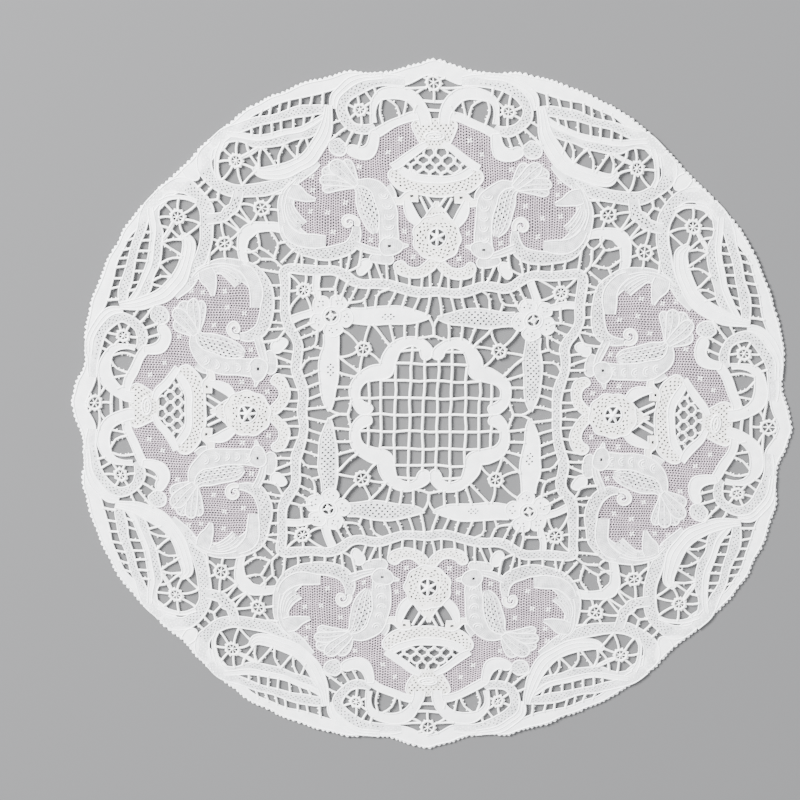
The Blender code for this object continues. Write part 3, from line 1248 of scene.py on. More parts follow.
@dataclass(frozen=True)
class Medallion:
    """The ring of curling arcs in the middle and the crossed threads that fill it."""

    arc: Route = (
        (2.3, 20.9, 4.2), (2.3, 24.0, 4.6), (5.2, 26.8, 3.7), (9.6, 27.1, 3.7), (13.2, 25.0, 4.4),
        (15.2, 21.2, 5.8), (16.6, 16.6, 5.9),
    )
    columns: tuple[float, ...] = (2.5, 7.4, 12.8, 17.8, 22.2)
    rows: tuple[float, ...] = (0.0, 6.3, 12.8, 19.2, 24.0)
    thread: float = 0.5
    levels: Place = (0.42, 0.56)  # heights of the threads along and across the panel, mm
    step: float = 4.0  # between the points of a thread, mm
    sway: float = 0.14  # how far a thread strays from straight, mm
    inside: float = 27.0  # radius that the middles of the threads keep to, mm
    scan: float = 30.0  # half the length over which a thread looks for the ring, mm
    seed: int = 3

    def bands(self) -> list[Band]:
        """The arcs and the knobs where they meet."""
        knobs = {"start": End.ROUND, "finish": End.ROUND}
        return [Band(across_diagonal(self.arc), copies=Copies.PANELS, level=0.06, **knobs)]

    def threads(self, skein: Skein, ground: Ground) -> None:
        """The crossed threads, each reaching into the ring at both ends.

        Args:
            skein: the threads to add to.
            ground: the close work that they reach into.
        """
        dice = random.Random(self.seed)
        upright, level = self.levels
        crossings = [(x, upright, (0.0, 1.0)) for column in self.columns for x in (-column, column)]
        crossings += [(y, level, (1.0, 0.0)) for row in self.rows for y in {-row, row}]
        for place, height, heading in crossings:
            toward = np.array(heading)
            aside = toward[::-1]
            first = place * aside - self.scan * toward
            for start, stop in ground.open_runs(first, toward, 2 * self.scan):
                if math.hypot(*(first + (start + stop) / 2 * toward)) > self.inside:
                    continue
                part = np.linspace(0, 1, max(3, round((stop - start) / self.step)))[:, None]
                run = first + (start + (stop - start) * part) * toward
                sway = np.array([dice.uniform(-self.sway, self.sway) for _ in part])
                skein.add(run + sway[:, None] * aside, height, self.thread, copies=Copies.ONCE)


@dataclass(frozen=True)
class Urn:
    """The urn on a panel's axis: collar, honeycomb bowl, dotted foot, bud and rosette."""

    collar: Route = (
        (0.0, 109.2, 13.0), (0.0, 107.2, 17.0), (0.0, 104.8, 16.2), (0.0, 102.2, 13.2), (0.0, 98.2, 8.0),
    )
    lip: Route = (
        (2.8, 99.9, 2.0), (5.8, 98.5, 2.4), (9.6, 95.4, 2.6), (13.0, 92.8, 2.6), (15.6, 91.4, 2.2),
    )
    crescent: Route = ((0.0, 87.2, 2.4), (5.0, 87.4, 2.5), (9.4, 88.8, 2.8), (12.8, 90.8, 2.4))
    saucer: Route = (
        (0.0, 83.6, 5.0), (6.0, 84.0, 5.2), (10.6, 85.4, 6.0), (13.7, 87.8, 5.6), (15.8, 90.6, 4.6),
    )
    foot: Route = ((0.0, 79.4, 0.9), (0.0, 77.4, 2.8), (0.0, 75.0, 6.8), (0.0, 71.6, 11.6))
    calyx: Route = ((6.6, 71.4, 3.0), (8.6, 73.6, 3.8), (10.0, 76.6, 3.2), (10.8, 79.8, 1.8))
    bracket: Route = ((6.6, 80.6, 3.4), (9.6, 80.8, 3.8), (12.4, 79.2, 2.6), (15.4, 79.6, 2.2))
    base: Route = (
        (0.0, 57.8, 3.6), (2.6, 55.2, 3.8), (5.4, 53.2, 3.8), (9.0, 52.8, 4.2), (12.2, 54.6, 4.6),
        (12.4, 57.4, 4.0),
    )
    slants: tuple[tuple[Place, Place], ...] = (((0.9, 77.2), (3.4, 81.2)), ((2.9, 75.4), (5.7, 80.6)))
    slant_thread: float = 0.5
    bracket_hole: Place = (8.2, 81.0)
    rosette: Place = (0.0, 66.0)
    rosette_hole: float = 3.2
    rosette_width: float = 5.3
    scallops: int = 9
    scallop_depth: float = 0.35
    star: int = 6  # spokes in the rosette's hole
    star_turn: float = 30.0  # degrees
    star_reach: float = 3.6
    star_radii: Place = (0.75, 0.3)  # at the middle and at the rim, mm
    star_level: float = 0.5
    ovals: tuple[Place, ...] = ((3.4, 1.6), (2.2, 0.7))  # half width and half height, mm
    ovals_middle: Place = (0.0, 103.0)
    oval_points: int = 16
    oval_thread: float = 0.3
    comb_pitch: float = 4.4
    comb_rows: tuple[tuple[float, int], ...] = ((96.9, 2), (94.2, 5), (91.5, 6), (88.8, 5))  # height, cells
    comb_cell: Place = (2.07, 1.86)  # half width and half height of a cell, mm
    comb_thread: float = 0.42
    comb_level: float = 0.45
    comb_points: int = 48

    def bands(self) -> list[Band]:
        """The urn's bands.

        Returns:
            The bands.
        """
        across = {"copies": Copies.PANELS, "cream": True}
        ring = []
        for angle in full_turn(4 * self.scallops):
            width = self.rosette_width + self.scallop_depth * math.cos(self.scallops * angle)
            place = self.rosette + (self.rosette_hole + width / 2) * pointing(angle)
            ring.append((*place, width))
        return [
            Band(self.collar, Work.OPENED, level=0.03, **across),
            Band(self.lip, level=0.08),
            Band(across_axis(self.crescent), copies=Copies.PANELS, level=0.08),
            Band(across_axis(self.saucer), Work.OPENED, End.ROUND, End.ROUND, level=0.04, **across),
            Band(self.foot, Work.OPENED, level=0.02, **across),
            Band(self.calyx, level=0.06),
            Band(self.bracket, level=0.05, cream=True, eyelets=(self.bracket_hole,)),
            Band(across_axis(self.base), Work.PINHOLED, End.ROUND, End.ROUND, level=0.03, **across),
            Band(tuple(ring), Work.OPENED, closed=True, level=0.06, **across),
        ]

    def threads(self, skein: Skein, ground: Ground) -> None:
        """The honeycomb's cells, the rosette's star and the ring on the collar.

        Args:
            skein: the threads to add to.
            ground: the close work that the cells reach into.
        """
        corners = full_turn(self.comb_points)
        for height, count in self.comb_rows:
            for index in range(count):
                x = (index - (count - 1) / 2) * self.comb_pitch
                cell = oval((x, height), *self.comb_cell, corners)
                for stretch, ring in ground.uncovered(cell, True, copies=Copies.PANELS):
                    stretch = thinned(stretch, ring, CORD_STEP)
                    look = {"closed": ring, "copies": Copies.PANELS}
                    skein.add(stretch, self.comb_level, self.comb_thread, **look)
        for index in range(self.star):
            toward = pointing(math.radians(self.star_turn + 360.0 * index / self.star))
            spoke = np.vstack([self.rosette, self.rosette + self.star_reach * toward])
            skein.add(spoke, self.star_level, np.array(self.star_radii), copies=Copies.PANELS)
        for slant in self.slants:
            skein.add(np.array(slant), MIDDLE, self.slant_thread)
        for wide, tall in self.ovals:
            ring = oval(self.ovals_middle, wide, tall, full_turn(self.oval_points))
            skein.add(ring, ON_TOP, self.oval_thread, closed=True, copies=Copies.PANELS)


@dataclass(frozen=True)
class Bird:
    """One of the pair of birds beside the urn, with a perch of leaves."""

    head: Route = ((12.2, 62.8, 3.0), (14.6, 62.4, 5.6), (17.6, 62.2, 7.0), (20.3, 62.6, 6.6))
    beak: Route = ((13.6, 62.2, 2.6), (12.0, 62.6, 1.6), (10.2, 63.0, 0.5))
    body: Route = (
        (17.0, 63.6, 6.0), (16.8, 66.2, 6.3), (17.0, 70.0, 6.5), (17.2, 75.0, 6.6), (18.4, 79.6, 6.8),
        (20.6, 83.2, 5.0), (24.0, 85.4, 3.4), (27.8, 85.8, 1.8),
    )
    wing: Route = (
        (21.6, 67.0, 1.6), (22.4, 69.2, 5.0), (23.1, 72.2, 7.0), (23.9, 76.2, 8.0), (24.7, 80.0, 8.0),
        (26.2, 83.2, 5.8), (28.8, 85.4, 2.8),
    )
    tail_root: Place = (28.2, 84.8)
    tail: tuple[tuple[float, float, float], ...] = (  # bearing of each feather, length, width
        (-10.0, 12.2, 3.4), (6.0, 13.0, 3.9), (23.0, 13.2, 4.2), (41.0, 12.2, 4.6), (62.0, 9.6, 4.4),
    )
    feather: tuple[tuple[float, float, float], ...] = (  # share of length and of width, bend in radians
        (0.0, 0.5, 0.0), (0.35, 0.9, 0.05), (0.7, 1.15, 0.04), (1.0, 0.9, 0.0),
    )
    shoulder: Route = ((14.8, 79.2, 1.8), (15.2, 82.0, 2.2), (17.0, 84.4, 2.8))
    ground_leaf: Route = ((14.8, 57.4, 3.2), (18.0, 57.7, 4.4), (21.4, 57.9, 4.2), (23.6, 57.4, 2.4))
    perch: Route = ((19.4, 59.9, 2.0), (23.6, 61.0, 2.6), (28.4, 62.8, 2.6))
    breast: tuple[Place, ...] = ((18.6, 81.6), (17.4, 77.8), (16.9, 74.0), (16.9, 70.2), (17.1, 66.6))
    breast_sizes: Place = (1.7, 0.85)
    breast_thread: float = 0.2
    breast_points: int = 8  # along each scallop
    eye: Place = (16.2, 62.2)

    def bands(self) -> list[Band]:
        """The bird's bands, from the ground up.

        Returns:
            The bands.
        """
        found = [
            Band(self.ground_leaf, start=End.ROUND, finish=End.ROUND),
            Band(self.perch, level=0.06, veins=1),
            Band(self.wing, Work.OPENED, level=0.03, veins=3),
            Band(self.shoulder, level=0.04),
            Band(self.body, level=0.07),
            Band(self.head, start=End.ROUND, finish=End.ROUND, level=0.1, eyelets=(self.eye,)),
            Band(self.beak, level=0.08),
        ]
        for index, (bearing, length, width) in enumerate(self.tail):
            stations = []
            for reach, share, bend in self.feather:
                place = self.tail_root + reach * length * pointing(math.radians(bearing) + bend)
                stations.append((*place, share * width))
            look = {"finish": End.ROUND, "level": 0.02 + 0.08 * (index % 2), "veins": 1}
            found.append(Band(tuple(stations), Work.PINHOLED, **look))
        return found

    def threads(self, skein: Skein) -> None:
        """Raised scallops down the breast, one inside the other.

        Args:
            skein: the threads to add to.
        """
        turns = np.linspace(math.pi, 2 * math.pi, self.breast_points)
        for spot in self.breast:
            for size in self.breast_sizes:
                skein.add(oval(spot, size, size, turns), ON_TOP, self.breast_thread)


@dataclass(frozen=True)
class Scroll:
    """The scroll at a panel's side: dotted back, spiral, striped stem and three lobes."""

    back: Route = (
        (28.3, 69.0, 2.4), (28.4, 65.4, 3.8), (30.4, 61.8, 4.8), (34.0, 60.1, 5.0), (38.6, 59.2, 4.8),
        (43.2, 59.7, 4.6), (47.4, 60.6, 4.4), (51.0, 63.0, 3.8), (53.6, 66.6, 3.2), (54.8, 71.0, 2.8),
        (55.0, 76.0, 2.6), (54.0, 80.6, 2.2), (51.4, 84.6, 2.0),
    )
    stem: Route = (
        (49.0, 86.4, 1.6), (51.4, 82.6, 3.4), (52.6, 78.0, 4.0), (52.4, 73.0, 4.2), (50.6, 68.4, 4.4),
        (47.0, 64.4, 4.2), (42.6, 62.4, 3.2),
    )
    lobe_top: Route = ((52.0, 82.0, 5.2), (49.4, 81.2, 6.0), (46.4, 79.8, 3.6), (42.8, 79.0, 0.9))
    lobe_middle: Route = ((52.4, 77.6, 2.4), (51.9, 74.6, 4.0), (50.2, 71.6, 5.0), (47.6, 69.1, 5.0))
    lobe_foot: Route = (
        (53.6, 69.6, 2.4), (51.4, 66.2, 4.2), (47.6, 63.9, 4.8), (43.2, 63.4, 4.9), (38.9, 63.6, 4.0),
    )
    spiral_centre: Place = (30.9, 70.7)
    spiral_radii: Place = (3.0, 0.35)
    spiral_widths: Place = (1.6, 1.1)
    spiral_turns: float = 1.2
    spiral_start: float = 207.0
    spiral_stations: int = 17

    def spiral(self) -> Route:
        """The tight curl at the scroll's end, clockwise and inwards.

        Returns:
            Its stations.
        """
        stations = []
        for part in np.linspace(0, 1, self.spiral_stations):
            radius, width = (
                (1 - part) * first + part * last for first, last in (self.spiral_radii, self.spiral_widths)
            )
            toward = pointing(math.radians(self.spiral_start - 360.0 * self.spiral_turns * part))
            stations.append((*(self.spiral_centre + radius * toward), width))
        return tuple(stations)

    def bands(self) -> list[Band]:
        """The scroll's bands.

        Returns:
            The bands.
        """
        return [
            Band(self.back, Work.PINHOLED, level=0.02),
            Band(self.spiral(), finish=End.ROUND, level=0.08, cream=True),
            Band(self.stem, level=0.05, veins=2),
            Band(self.lobe_top, level=0.1),
            Band(self.lobe_middle, Work.PINHOLED, level=0.07, veins=3),
            Band(self.lobe_foot, level=0.08),
        ]


@dataclass(frozen=True)
class PanelNet:
    """The fine net behind the figures of a panel: staggered meshes and small flowers."""

    patches: tuple[tuple[Place, ...], ...] = (
        (  # round the urn and over the bird
            (8.4, 108.6), (15.0, 105.4), (20.4, 102.0), (20.4, 97.0), (24.0, 95.0), (28.0, 95.0),
            (31.5, 97.0), (34.0, 96.4), (37.6, 99.0), (39.4, 100.0), (42.0, 95.4), (46.0, 90.4),
            (50.8, 85.6), (49.6, 82.6), (47.0, 80.8), (44.0, 79.4), (50.6, 78.4), (51.4, 75.2),
            (49.6, 72.0), (46.8, 70.4), (49.8, 66.6), (49.0, 64.4), (39.8, 64.4), (37.2, 60.6),
            (31.0, 63.0), (29.0, 66.5), (29.6, 71.0), (27.2, 73.0), (24.6, 78.0), (27.0, 83.0),
            (30.0, 85.0), (28.6, 86.2), (22.0, 84.4), (15.4, 83.6), (15.0, 87.0), (16.0, 91.4),
            (12.0, 92.6), (4.6, 99.4), (6.0, 104.0),
        ),
        (  # between the rosette and the bird's breast
            (12.2, 80.0), (10.0, 73.0), (6.6, 71.0), (8.2, 66.0), (7.0, 61.0), (2.6, 56.6), (10.0, 54.4),
            (16.0, 58.4), (11.0, 62.5), (14.8, 65.0), (15.0, 72.0), (14.4, 79.0),
        ),
        (  # behind the bird's neck
            (19.2, 60.0), (27.4, 63.2), (28.6, 66.6), (28.0, 71.6), (26.9, 73.3), (25.0, 75.0), (22.0, 70.4),
            (19.0, 68.0),
        ),
    )
    pitch_x: float = 0.90
    pitch_y: float = 1.00
    swing: float = 0.25  # of the cross threads, up in one column of meshes and down in the next, mm
    thread: float = 0.165
    cross_thread: float = 0.15
    levels: Place = (0.36, 0.46)  # heights of the threads along and across the panel, mm
    stray: float = 0.04  # of a thread from its place, mm
    uneven: Place = (0.85, 1.15)  # least and greatest share of its radius that a thread has
    step: float = 5.0  # between the points of a straight thread, mm
    flowers: tuple[Place, ...] = (
        (12.2, 101.6), (16.6, 96.6), (26.8, 91.2), (37.6, 92.4), (44.2, 87.2), (32.0, 78.2), (38.4, 74.0),
        (43.6, 82.6), (36.6, 67.4), (44.6, 74.6), (11.4, 68.0), (8.0, 58.6), (23.2, 64.6),
    )
    petal: float = 0.85
    petal_turns: tuple[float, ...] = (53, 143, 233, 323)  # degrees
    petal_reach: tuple[float, ...] = (0.25, 0.75, 1.2)  # in petal sizes
    petal_radii: tuple[float, ...] = (0.18, 0.34, 0.2)
    petal_level: float = 0.5
    seed: int = 11

    def threads(self, skein: Skein) -> None:
        """The net's threads, along and across the panel.

        Args:
            skein: the threads to add to.
        """
        dice = random.Random(self.seed)
        kinds = ((0, self.pitch_x, self.thread), (1, self.pitch_y, self.cross_thread))
        for patch in self.patches:
            corners = np.array(patch)
            for axis, pitch, radius in kinds:
                low, high = corners[:, axis].min(), corners[:, axis].max()
                for count in range(math.ceil(low / pitch), math.floor(high / pitch) + 1):
                    place = count * pitch + dice.uniform(-self.stray, self.stray)
                    for start, stop in self.crossings(corners, axis, place):
                        run = self.swung if axis else self.upright
                        points = run(place, start, stop)
                        skein.add(points, self.levels[axis], radius * dice.uniform(*self.uneven))

    @staticmethod
    def crossings(corners: np.ndarray, axis: int, place: float) -> list[Place]:
        """Where a straight thread is inside a patch.

        Args:
            corners: the patch's outline.
            axis: 0 for a thread at one x, 1 for a thread at one y.
            place: that x or y, mm.

        Returns:
            Starts and stops along the thread.
        """
        met = []
        for a, b in zip(corners, np.roll(corners, -1, axis=0)):
            if (a[axis] > place) != (b[axis] > place):
                part = (place - a[axis]) / (b[axis] - a[axis])
                met.append(float(a[1 - axis] + part * (b[1 - axis] - a[1 - axis])))
        met.sort()
        return list(zip(met[::2], met[1::2]))

    def upright(self, x: float, start: float, stop: float) -> np.ndarray:
        """Points of a thread at one x, as a few straight steps."""
        run = np.linspace(start, stop, max(2, round((stop - start) / self.step) + 1))
        return np.column_stack([np.full_like(run, x), run])

    def swung(self, y: float, start: float, stop: float) -> np.ndarray:
        """Points of a cross thread, up or down in the middle of each column of meshes.

        Args:
            y: height of the thread in the drawing, mm.
            start: its left end, mm.
            stop: its right end, mm.

        Returns:
            Rows of x and y, mm.
        """
        first, last = start / self.pitch_x - 0.5, stop / self.pitch_x - 0.5
        columns = np.arange(math.ceil(first), math.floor(last) + 1)
        swing = self.swing * (1 - 2 * (columns % 2))
        middles = np.column_stack([(columns + 0.5) * self.pitch_x, y + swing])
        return np.vstack([[start, y], middles, [stop, y]])

    def blossoms(self, skein: Skein) -> None:
        """A small cross of petals at each flower of the net.

        Args:
            skein: the threads to add to.
        """
        reach = np.array(self.petal_reach) * self.petal
        for flower in self.flowers:
            for turn in self.petal_turns:
                petal = flower + reach[:, None] * pointing(math.radians(turn))
                skein.add(petal, self.petal_level, np.array(self.petal_radii))


@dataclass(frozen=True)
class Wheel:
    """A ringed wheel worked in an opening: knobbed ring, pinholed middle and spokes to the bands."""

    x: float
    y: float
    turn: float = 0.0
    spokes: int = 7
    ring: float = 2.2
    copies: Copies = Copies.HALF_PANELS
    reach: float = 11.0
    ring_thread: float = 0.5
    ring_points: int = 18
    level: float = 0.5
    thread: float = 0.2  # between hub and ring, mm
    hub: float = 0.5
    hub_half: float = 0.3  # half its length, mm
    gap: float = 0.3  # past the ring, where a spoke starts to look for close work, mm
    bow: float = 0.05  # of a spoke, as a share of its length
    spoke_radii: tuple[float, ...] = (0.44, 0.42, 0.44, 0.45, 0.52)
    knob: float = 0.48
    knob_half: float = 0.3
    knob_out: float = 0.35  # past the ring's middle, mm

    def threads(self, skein: Skein, ground: Ground) -> None:
        """The wheel's threads.

        Args:
            skein: the threads to add to.
            ground: the close work that the spokes reach for.
        """
        centre = np.array([self.x, self.y])
        ring = oval(centre, self.ring, self.ring, full_turn(self.ring_points))
        skein.add(ring, self.level, self.ring_thread, closed=True, copies=self.copies)
        hub = centre + np.array([[-self.hub_half, 0.0], [0.0, 0.0], [self.hub_half, 0.0]])
        skein.add(hub, self.level, self.hub, copies=self.copies)
        part = np.linspace(0, 1, len(self.spoke_radii))[:, None]
        for index in range(self.spokes):
            angle = math.radians(self.turn) + 2 * math.pi * index / self.spokes
            toward = pointing(angle)
            aside = leftward(toward)
            start = centre + self.ring * toward
            end = ground.reach(centre + (self.ring + self.gap) * toward, toward, self.reach)
            skein.add(np.vstack([centre, start]), MIDDLE, self.thread, copies=self.copies)
            bow = self.bow * math.dist(start, end) * (1 if index % 2 else -1)
            run = start * (1 - part) + end * part + bow * 4 * part * (1 - part) * aside
            skein.add(run, MIDDLE, np.array(self.spoke_radii), copies=self.copies)
            knob = centre + (self.ring + self.knob_out) * pointing(angle + math.pi / self.spokes)
            half = self.knob_half * aside
            skein.add(np.vstack([knob - half, knob + half]), self.knob, self.knob, copies=self.copies)


WHEELS = (
    Wheel(0.0, 121.9, 90.0, 6, 2.5, Copies.PANELS),
    Wheel(26.4, 112.0, 24.0, 6, 2.0),
    Wheel(71.8, 92.6, 98.0, 7, 2.3),
    Wheel(62.0, 75.4, 68.0, 6, 2.4),
    Wheel(24.2, 24.4, 50.0, 6, 2.4, Copies.PANELS),
    Wheel(45.6, 46.4, 45.0, 7, 2.3, Copies.PANELS),
)

# Bars of a half panel; an end that stops short of a band is carried on into it.
BARS: tuple[Run, ...] = (
    # beside the wheel at the tip
    ((2.8, 120.1), (9.4, 120.3)),
    # inside the arch
    ((6.9, 111.5), (6.0, 113.6)), ((9.9, 115.0), (10.7, 110.7)),
    ((12.3, 110.7), (13.2, 113.6), (16.2, 115.8)), ((18.8, 115.0), (19.5, 111.6), (18.3, 107.6)),
    # between arch and curl
    ((21.0, 120.2), (20.6, 118.8)), ((24.0, 118.4), (23.0, 116.8)),
    # round the inside of the curl
    ((25.9, 102.8), (27.2, 99.2)), ((29.5, 103.2), (31.0, 100.2)), ((32.6, 104.6), (35.4, 102.4)),
    ((34.4, 107.8), (36.6, 106.8)),
    # outer row of the fan
    ((39.6, 117.4), (39.8, 114.2)), ((43.9, 116.6), (44.3, 114.0)), ((47.9, 115.6), (48.0, 113.4)),
    ((52.2, 114.6), (52.4, 112.6)), ((55.4, 113.6), (55.6, 111.8)), ((58.8, 112.8), (59.2, 111.2)),
    ((62.2, 111.4), (62.8, 109.6)),
    # inner row of the fan
    ((43.2, 109.6), (43.6, 108.2)), ((46.4, 108.6), (46.8, 106.6)), ((50.6, 107.8), (50.7, 104.8)),
    ((54.8, 107.4), (54.8, 103.8)), ((58.5, 106.6), (58.4, 102.8)), ((62.3, 105.6), (62.4, 102.6)),
    ((65.8, 104.6), (65.7, 102.4)),
    # across the bean
    ((46.0, 100.5), (45.0, 97.3)), ((47.7, 101.0), (49.0, 98.4), (49.0, 95.0)),
    ((53.5, 98.5), (49.8, 94.7)), ((54.3, 98.5), (56.0, 95.0), (56.0, 91.3)),
    ((61.8, 97.6), (57.0, 91.0)), ((62.3, 97.8), (63.4, 94.4), (63.2, 90.6)),
    ((67.6, 97.8), (67.2, 95.8), (64.0, 91.5)), ((67.2, 95.8), (70.0, 94.2)),
    ((64.5, 89.0), (68.8, 84.4)),
    # round the corner wheel
    ((66.5, 70.4), (69.8, 75.0)), ((69.8, 66.5), (72.9, 70.8)), ((54.8, 80.9), (57.6, 80.8)),
    # outside the braid
    ((1.4, 47.8), (2.2, 53.0)), ((4.8, 47.5), (4.8, 50.6)), ((9.2, 48.0), (9.5, 50.6)),
    ((13.6, 49.5), (14.0, 52.6)), ((17.2, 50.2), (17.3, 55.2)), ((19.0, 50.4), (21.0, 55.2)),
    ((22.6, 50.0), (23.4, 53.4)), ((27.4, 54.8), (31.2, 52.8)), ((26.3, 60.6), (27.0, 55.6)),
    ((30.6, 59.0), (31.4, 54.0)), ((33.6, 57.6), (33.5, 54.6)), ((37.4, 56.8), (37.4, 54.8)),
    ((42.2, 56.8), (42.2, 54.8)), ((47.0, 55.0), (47.2, 58.6)),
    # inside the braid
    ((1.6, 44.2), (3.0, 37.8)), ((5.6, 44.0), (7.2, 39.6)), ((9.8, 44.6), (11.2, 40.4)),
    ((13.8, 46.0), (15.8, 41.0)), ((16.6, 47.0), (20.0, 44.6), (20.4, 41.0)),
    ((23.3, 46.4), (25.0, 42.4), (28.8, 41.6)), ((25.0, 42.4), (24.4, 40.4)),
    ((27.6, 47.2), (29.8, 42.4)), ((30.6, 49.0), (33.4, 42.6)),
    # inside the leaves
    ((0.0, 29.9), (4.4, 28.6)), ((0.0, 29.9), (0.0, 33.0), (1.8, 36.2)), ((5.8, 28.8), (5.6, 33.6)),
    ((10.1, 28.8), (10.3, 33.2)), ((13.6, 27.4), (15.3, 33.0)), ((15.2, 26.0), (21.4, 33.0)),
)

# Bars of a corner, on both sides of the diagonal.
CORNER_BARS: tuple[Run, ...] = (
    # inside the angle band
    ((54.6, 64.6), (56.5, 62.3), (59.3, 65.5)),
    ((59.3, 67.5), (59.3, 65.5), (60.8, 62.7), (64.8, 63.4)),
    ((56.5, 62.3), (56.5, 57.2), (55.0, 55.4)), ((60.8, 62.7), (58.5, 58.8), (57.0, 56.8)),
    ((57.6, 57.2), (62.4, 56.0), (65.6, 57.8)), ((62.4, 56.0), (63.3, 53.6)),
    ((55.8, 54.6), (60.6, 50.4)), ((54.6, 49.8), (58.8, 48.4)), ((51.9, 55.0), (52.4, 61.0)),
    # the three-armed bar past the bridge
    ((78.3, 78.3), (75.8, 75.2)), ((78.3, 78.3), (78.0, 80.8)), ((78.3, 78.3), (80.8, 77.6)),
    ((80.6, 82.2), (82.2, 80.6)), ((83.2, 84.8), (84.8, 83.2)),
    # beside the corner flower
    ((45.8, 41.0), (46.2, 35.6)), ((42.6, 34.6), (46.2, 35.2), (50.0, 34.2)),
)


@dataclass(frozen=True)
class Bars:
    """The buttonholed bars that hold the bands apart, with small knots at their sides."""

    radius: float = 0.46
    swell: float = 0.12  # share of its radius by which a bar is thicker at its ends
    uneven: Place = (0.92, 1.1)  # least and greatest share of the radius that a bar has
    step: float = 1.6  # between the points of a bar, mm
    carry: float = 4.0  # how far an end may be carried on to meet a band, mm
    knot_pitch: float = 1.9  # along a bar, mm
    knot_share: float = 0.6  # of the places for a knot that have one
    knot_stray: float = 0.3  # of a knot from its place, in pitches
    knot_reach: tuple[float, ...] = (0.2, 0.6, 0.88)  # from the bar's middle, mm
    knot_radius: tuple[float, ...] = (0.36, 0.28, 0.13)
    seed: int = 5

    def threads(self, skein: Skein, ground: Ground) -> None:
        """Every bar, its ends carried into the close work.

        Args:
            skein: the threads to add to.
            ground: the close work.
        """
        dice = random.Random(self.seed)
        drawn = [(run, Copies.HALF_PANELS) for run in BARS]
        drawn += [(run, Copies.PANELS) for run in CORNER_BARS]
        for run, copies in drawn:
            points = np.array(run)
            points[0] = ground.reach(points[0], points[0] - points[1], self.carry)
            points[-1] = ground.reach(points[-1], points[-1] - points[-2], self.carry)
            line = Line(tuple((x, y, 1.0) for x, y in points))
            steps = max(3, round(line.length / self.step))
            place, _, _ = line.at(np.linspace(0, line.length, steps))
            radius = self.radius * (1 + self.swell * np.cos(np.linspace(0, 2 * math.pi, steps)))
            skein.add(place, MIDDLE, radius * dice.uniform(*self.uneven), copies=copies)
            spots = round(line.length / self.knot_pitch)
            for spot in range(1, spots):
                if dice.random() > self.knot_share:
                    continue
                stray = dice.uniform(-self.knot_stray, self.knot_stray)
                place, left, _ = line.at(np.array([(spot + stray) * line.length / spots]))
                side = left[0] * dice.choice((-1, 1))
                knot = place[0] + np.array(self.knot_reach)[:, None] * side
                skein.add(knot, MIDDLE, np.array(self.knot_radius), copies=copies)


def outline_cords(bands: list[Band], skein: Skein, ground: Ground) -> None:
    """The raised cord along both edges of each band, and the veins between, where nothing hides them.

    Args:
        bands: the bands.
        skein: the threads to add to.
        ground: the close work, all of it laid.
    """
    for band in bands:
        line = band.line()
        total = band.run(line)
        rounded = End.ROUND in (band.start, band.finish)
        samples = max(LEAST_SAMPLES, round(total / CORD_SAMPLE))
        run = np.linspace(0, total, samples, endpoint=not band.closed)
        sides = (CORD_SIDE, -CORD_SIDE)
        edges = [band.surface(line, run, np.full(len(run), side)) for side in sides]
        height = BAND_FLOOR + BAND_THICK + band.level - CORD_SUNK
        if rounded and not band.closed:
            edges = [np.vstack([edges[0], edges[1][::-1]])]
        laid = [(edge, band.closed or rounded, height, CORD_RADIUS) for edge in edges]
        for vein in range(1, band.veins + 1):
            side = 2 * vein / (band.veins + 1) - 1
            inner = run[(run > VEIN_MARGIN) & (run < total - VEIN_MARGIN)]
            middle = band.surface(line, inner, np.full(len(inner), side))
            laid.append((middle, False, height + CORD_SUNK + CROWN * (1 - side**2), VEIN_RADIUS))
        for points, closed, middle_height, radius in laid:
            for stretch, ring in ground.uncovered(points, closed, ground.ranks[band], band.copies):
                step = ROUND_STEP if rounded else CORD_STEP
                skein.add(thinned(stretch, ring, step), middle_height, radius, ring, band.copies)


def thinned(points: np.ndarray, closed: bool, step: float) -> np.ndarray:
    """Points along the same line about one step apart, its ends kept.

    Args:
        points: rows of x and y, mm.
        closed: whether the line is a ring.
        step: the distance wanted, mm.

    Returns:
        The fewer points.
    """
    if closed:
        points = np.vstack([points, points[:1]])
    along = np.concatenate([[0], np.cumsum(np.hypot(*np.diff(points, axis=0).T))])
    count = max(3 if closed else 1, round(along[-1] / step))
    places = np.linspace(0, along[-1], count + 1)[: count if closed else None]
    return np.stack([np.interp(places, along, points[:, axis]) for axis in (0, 1)], axis=1)


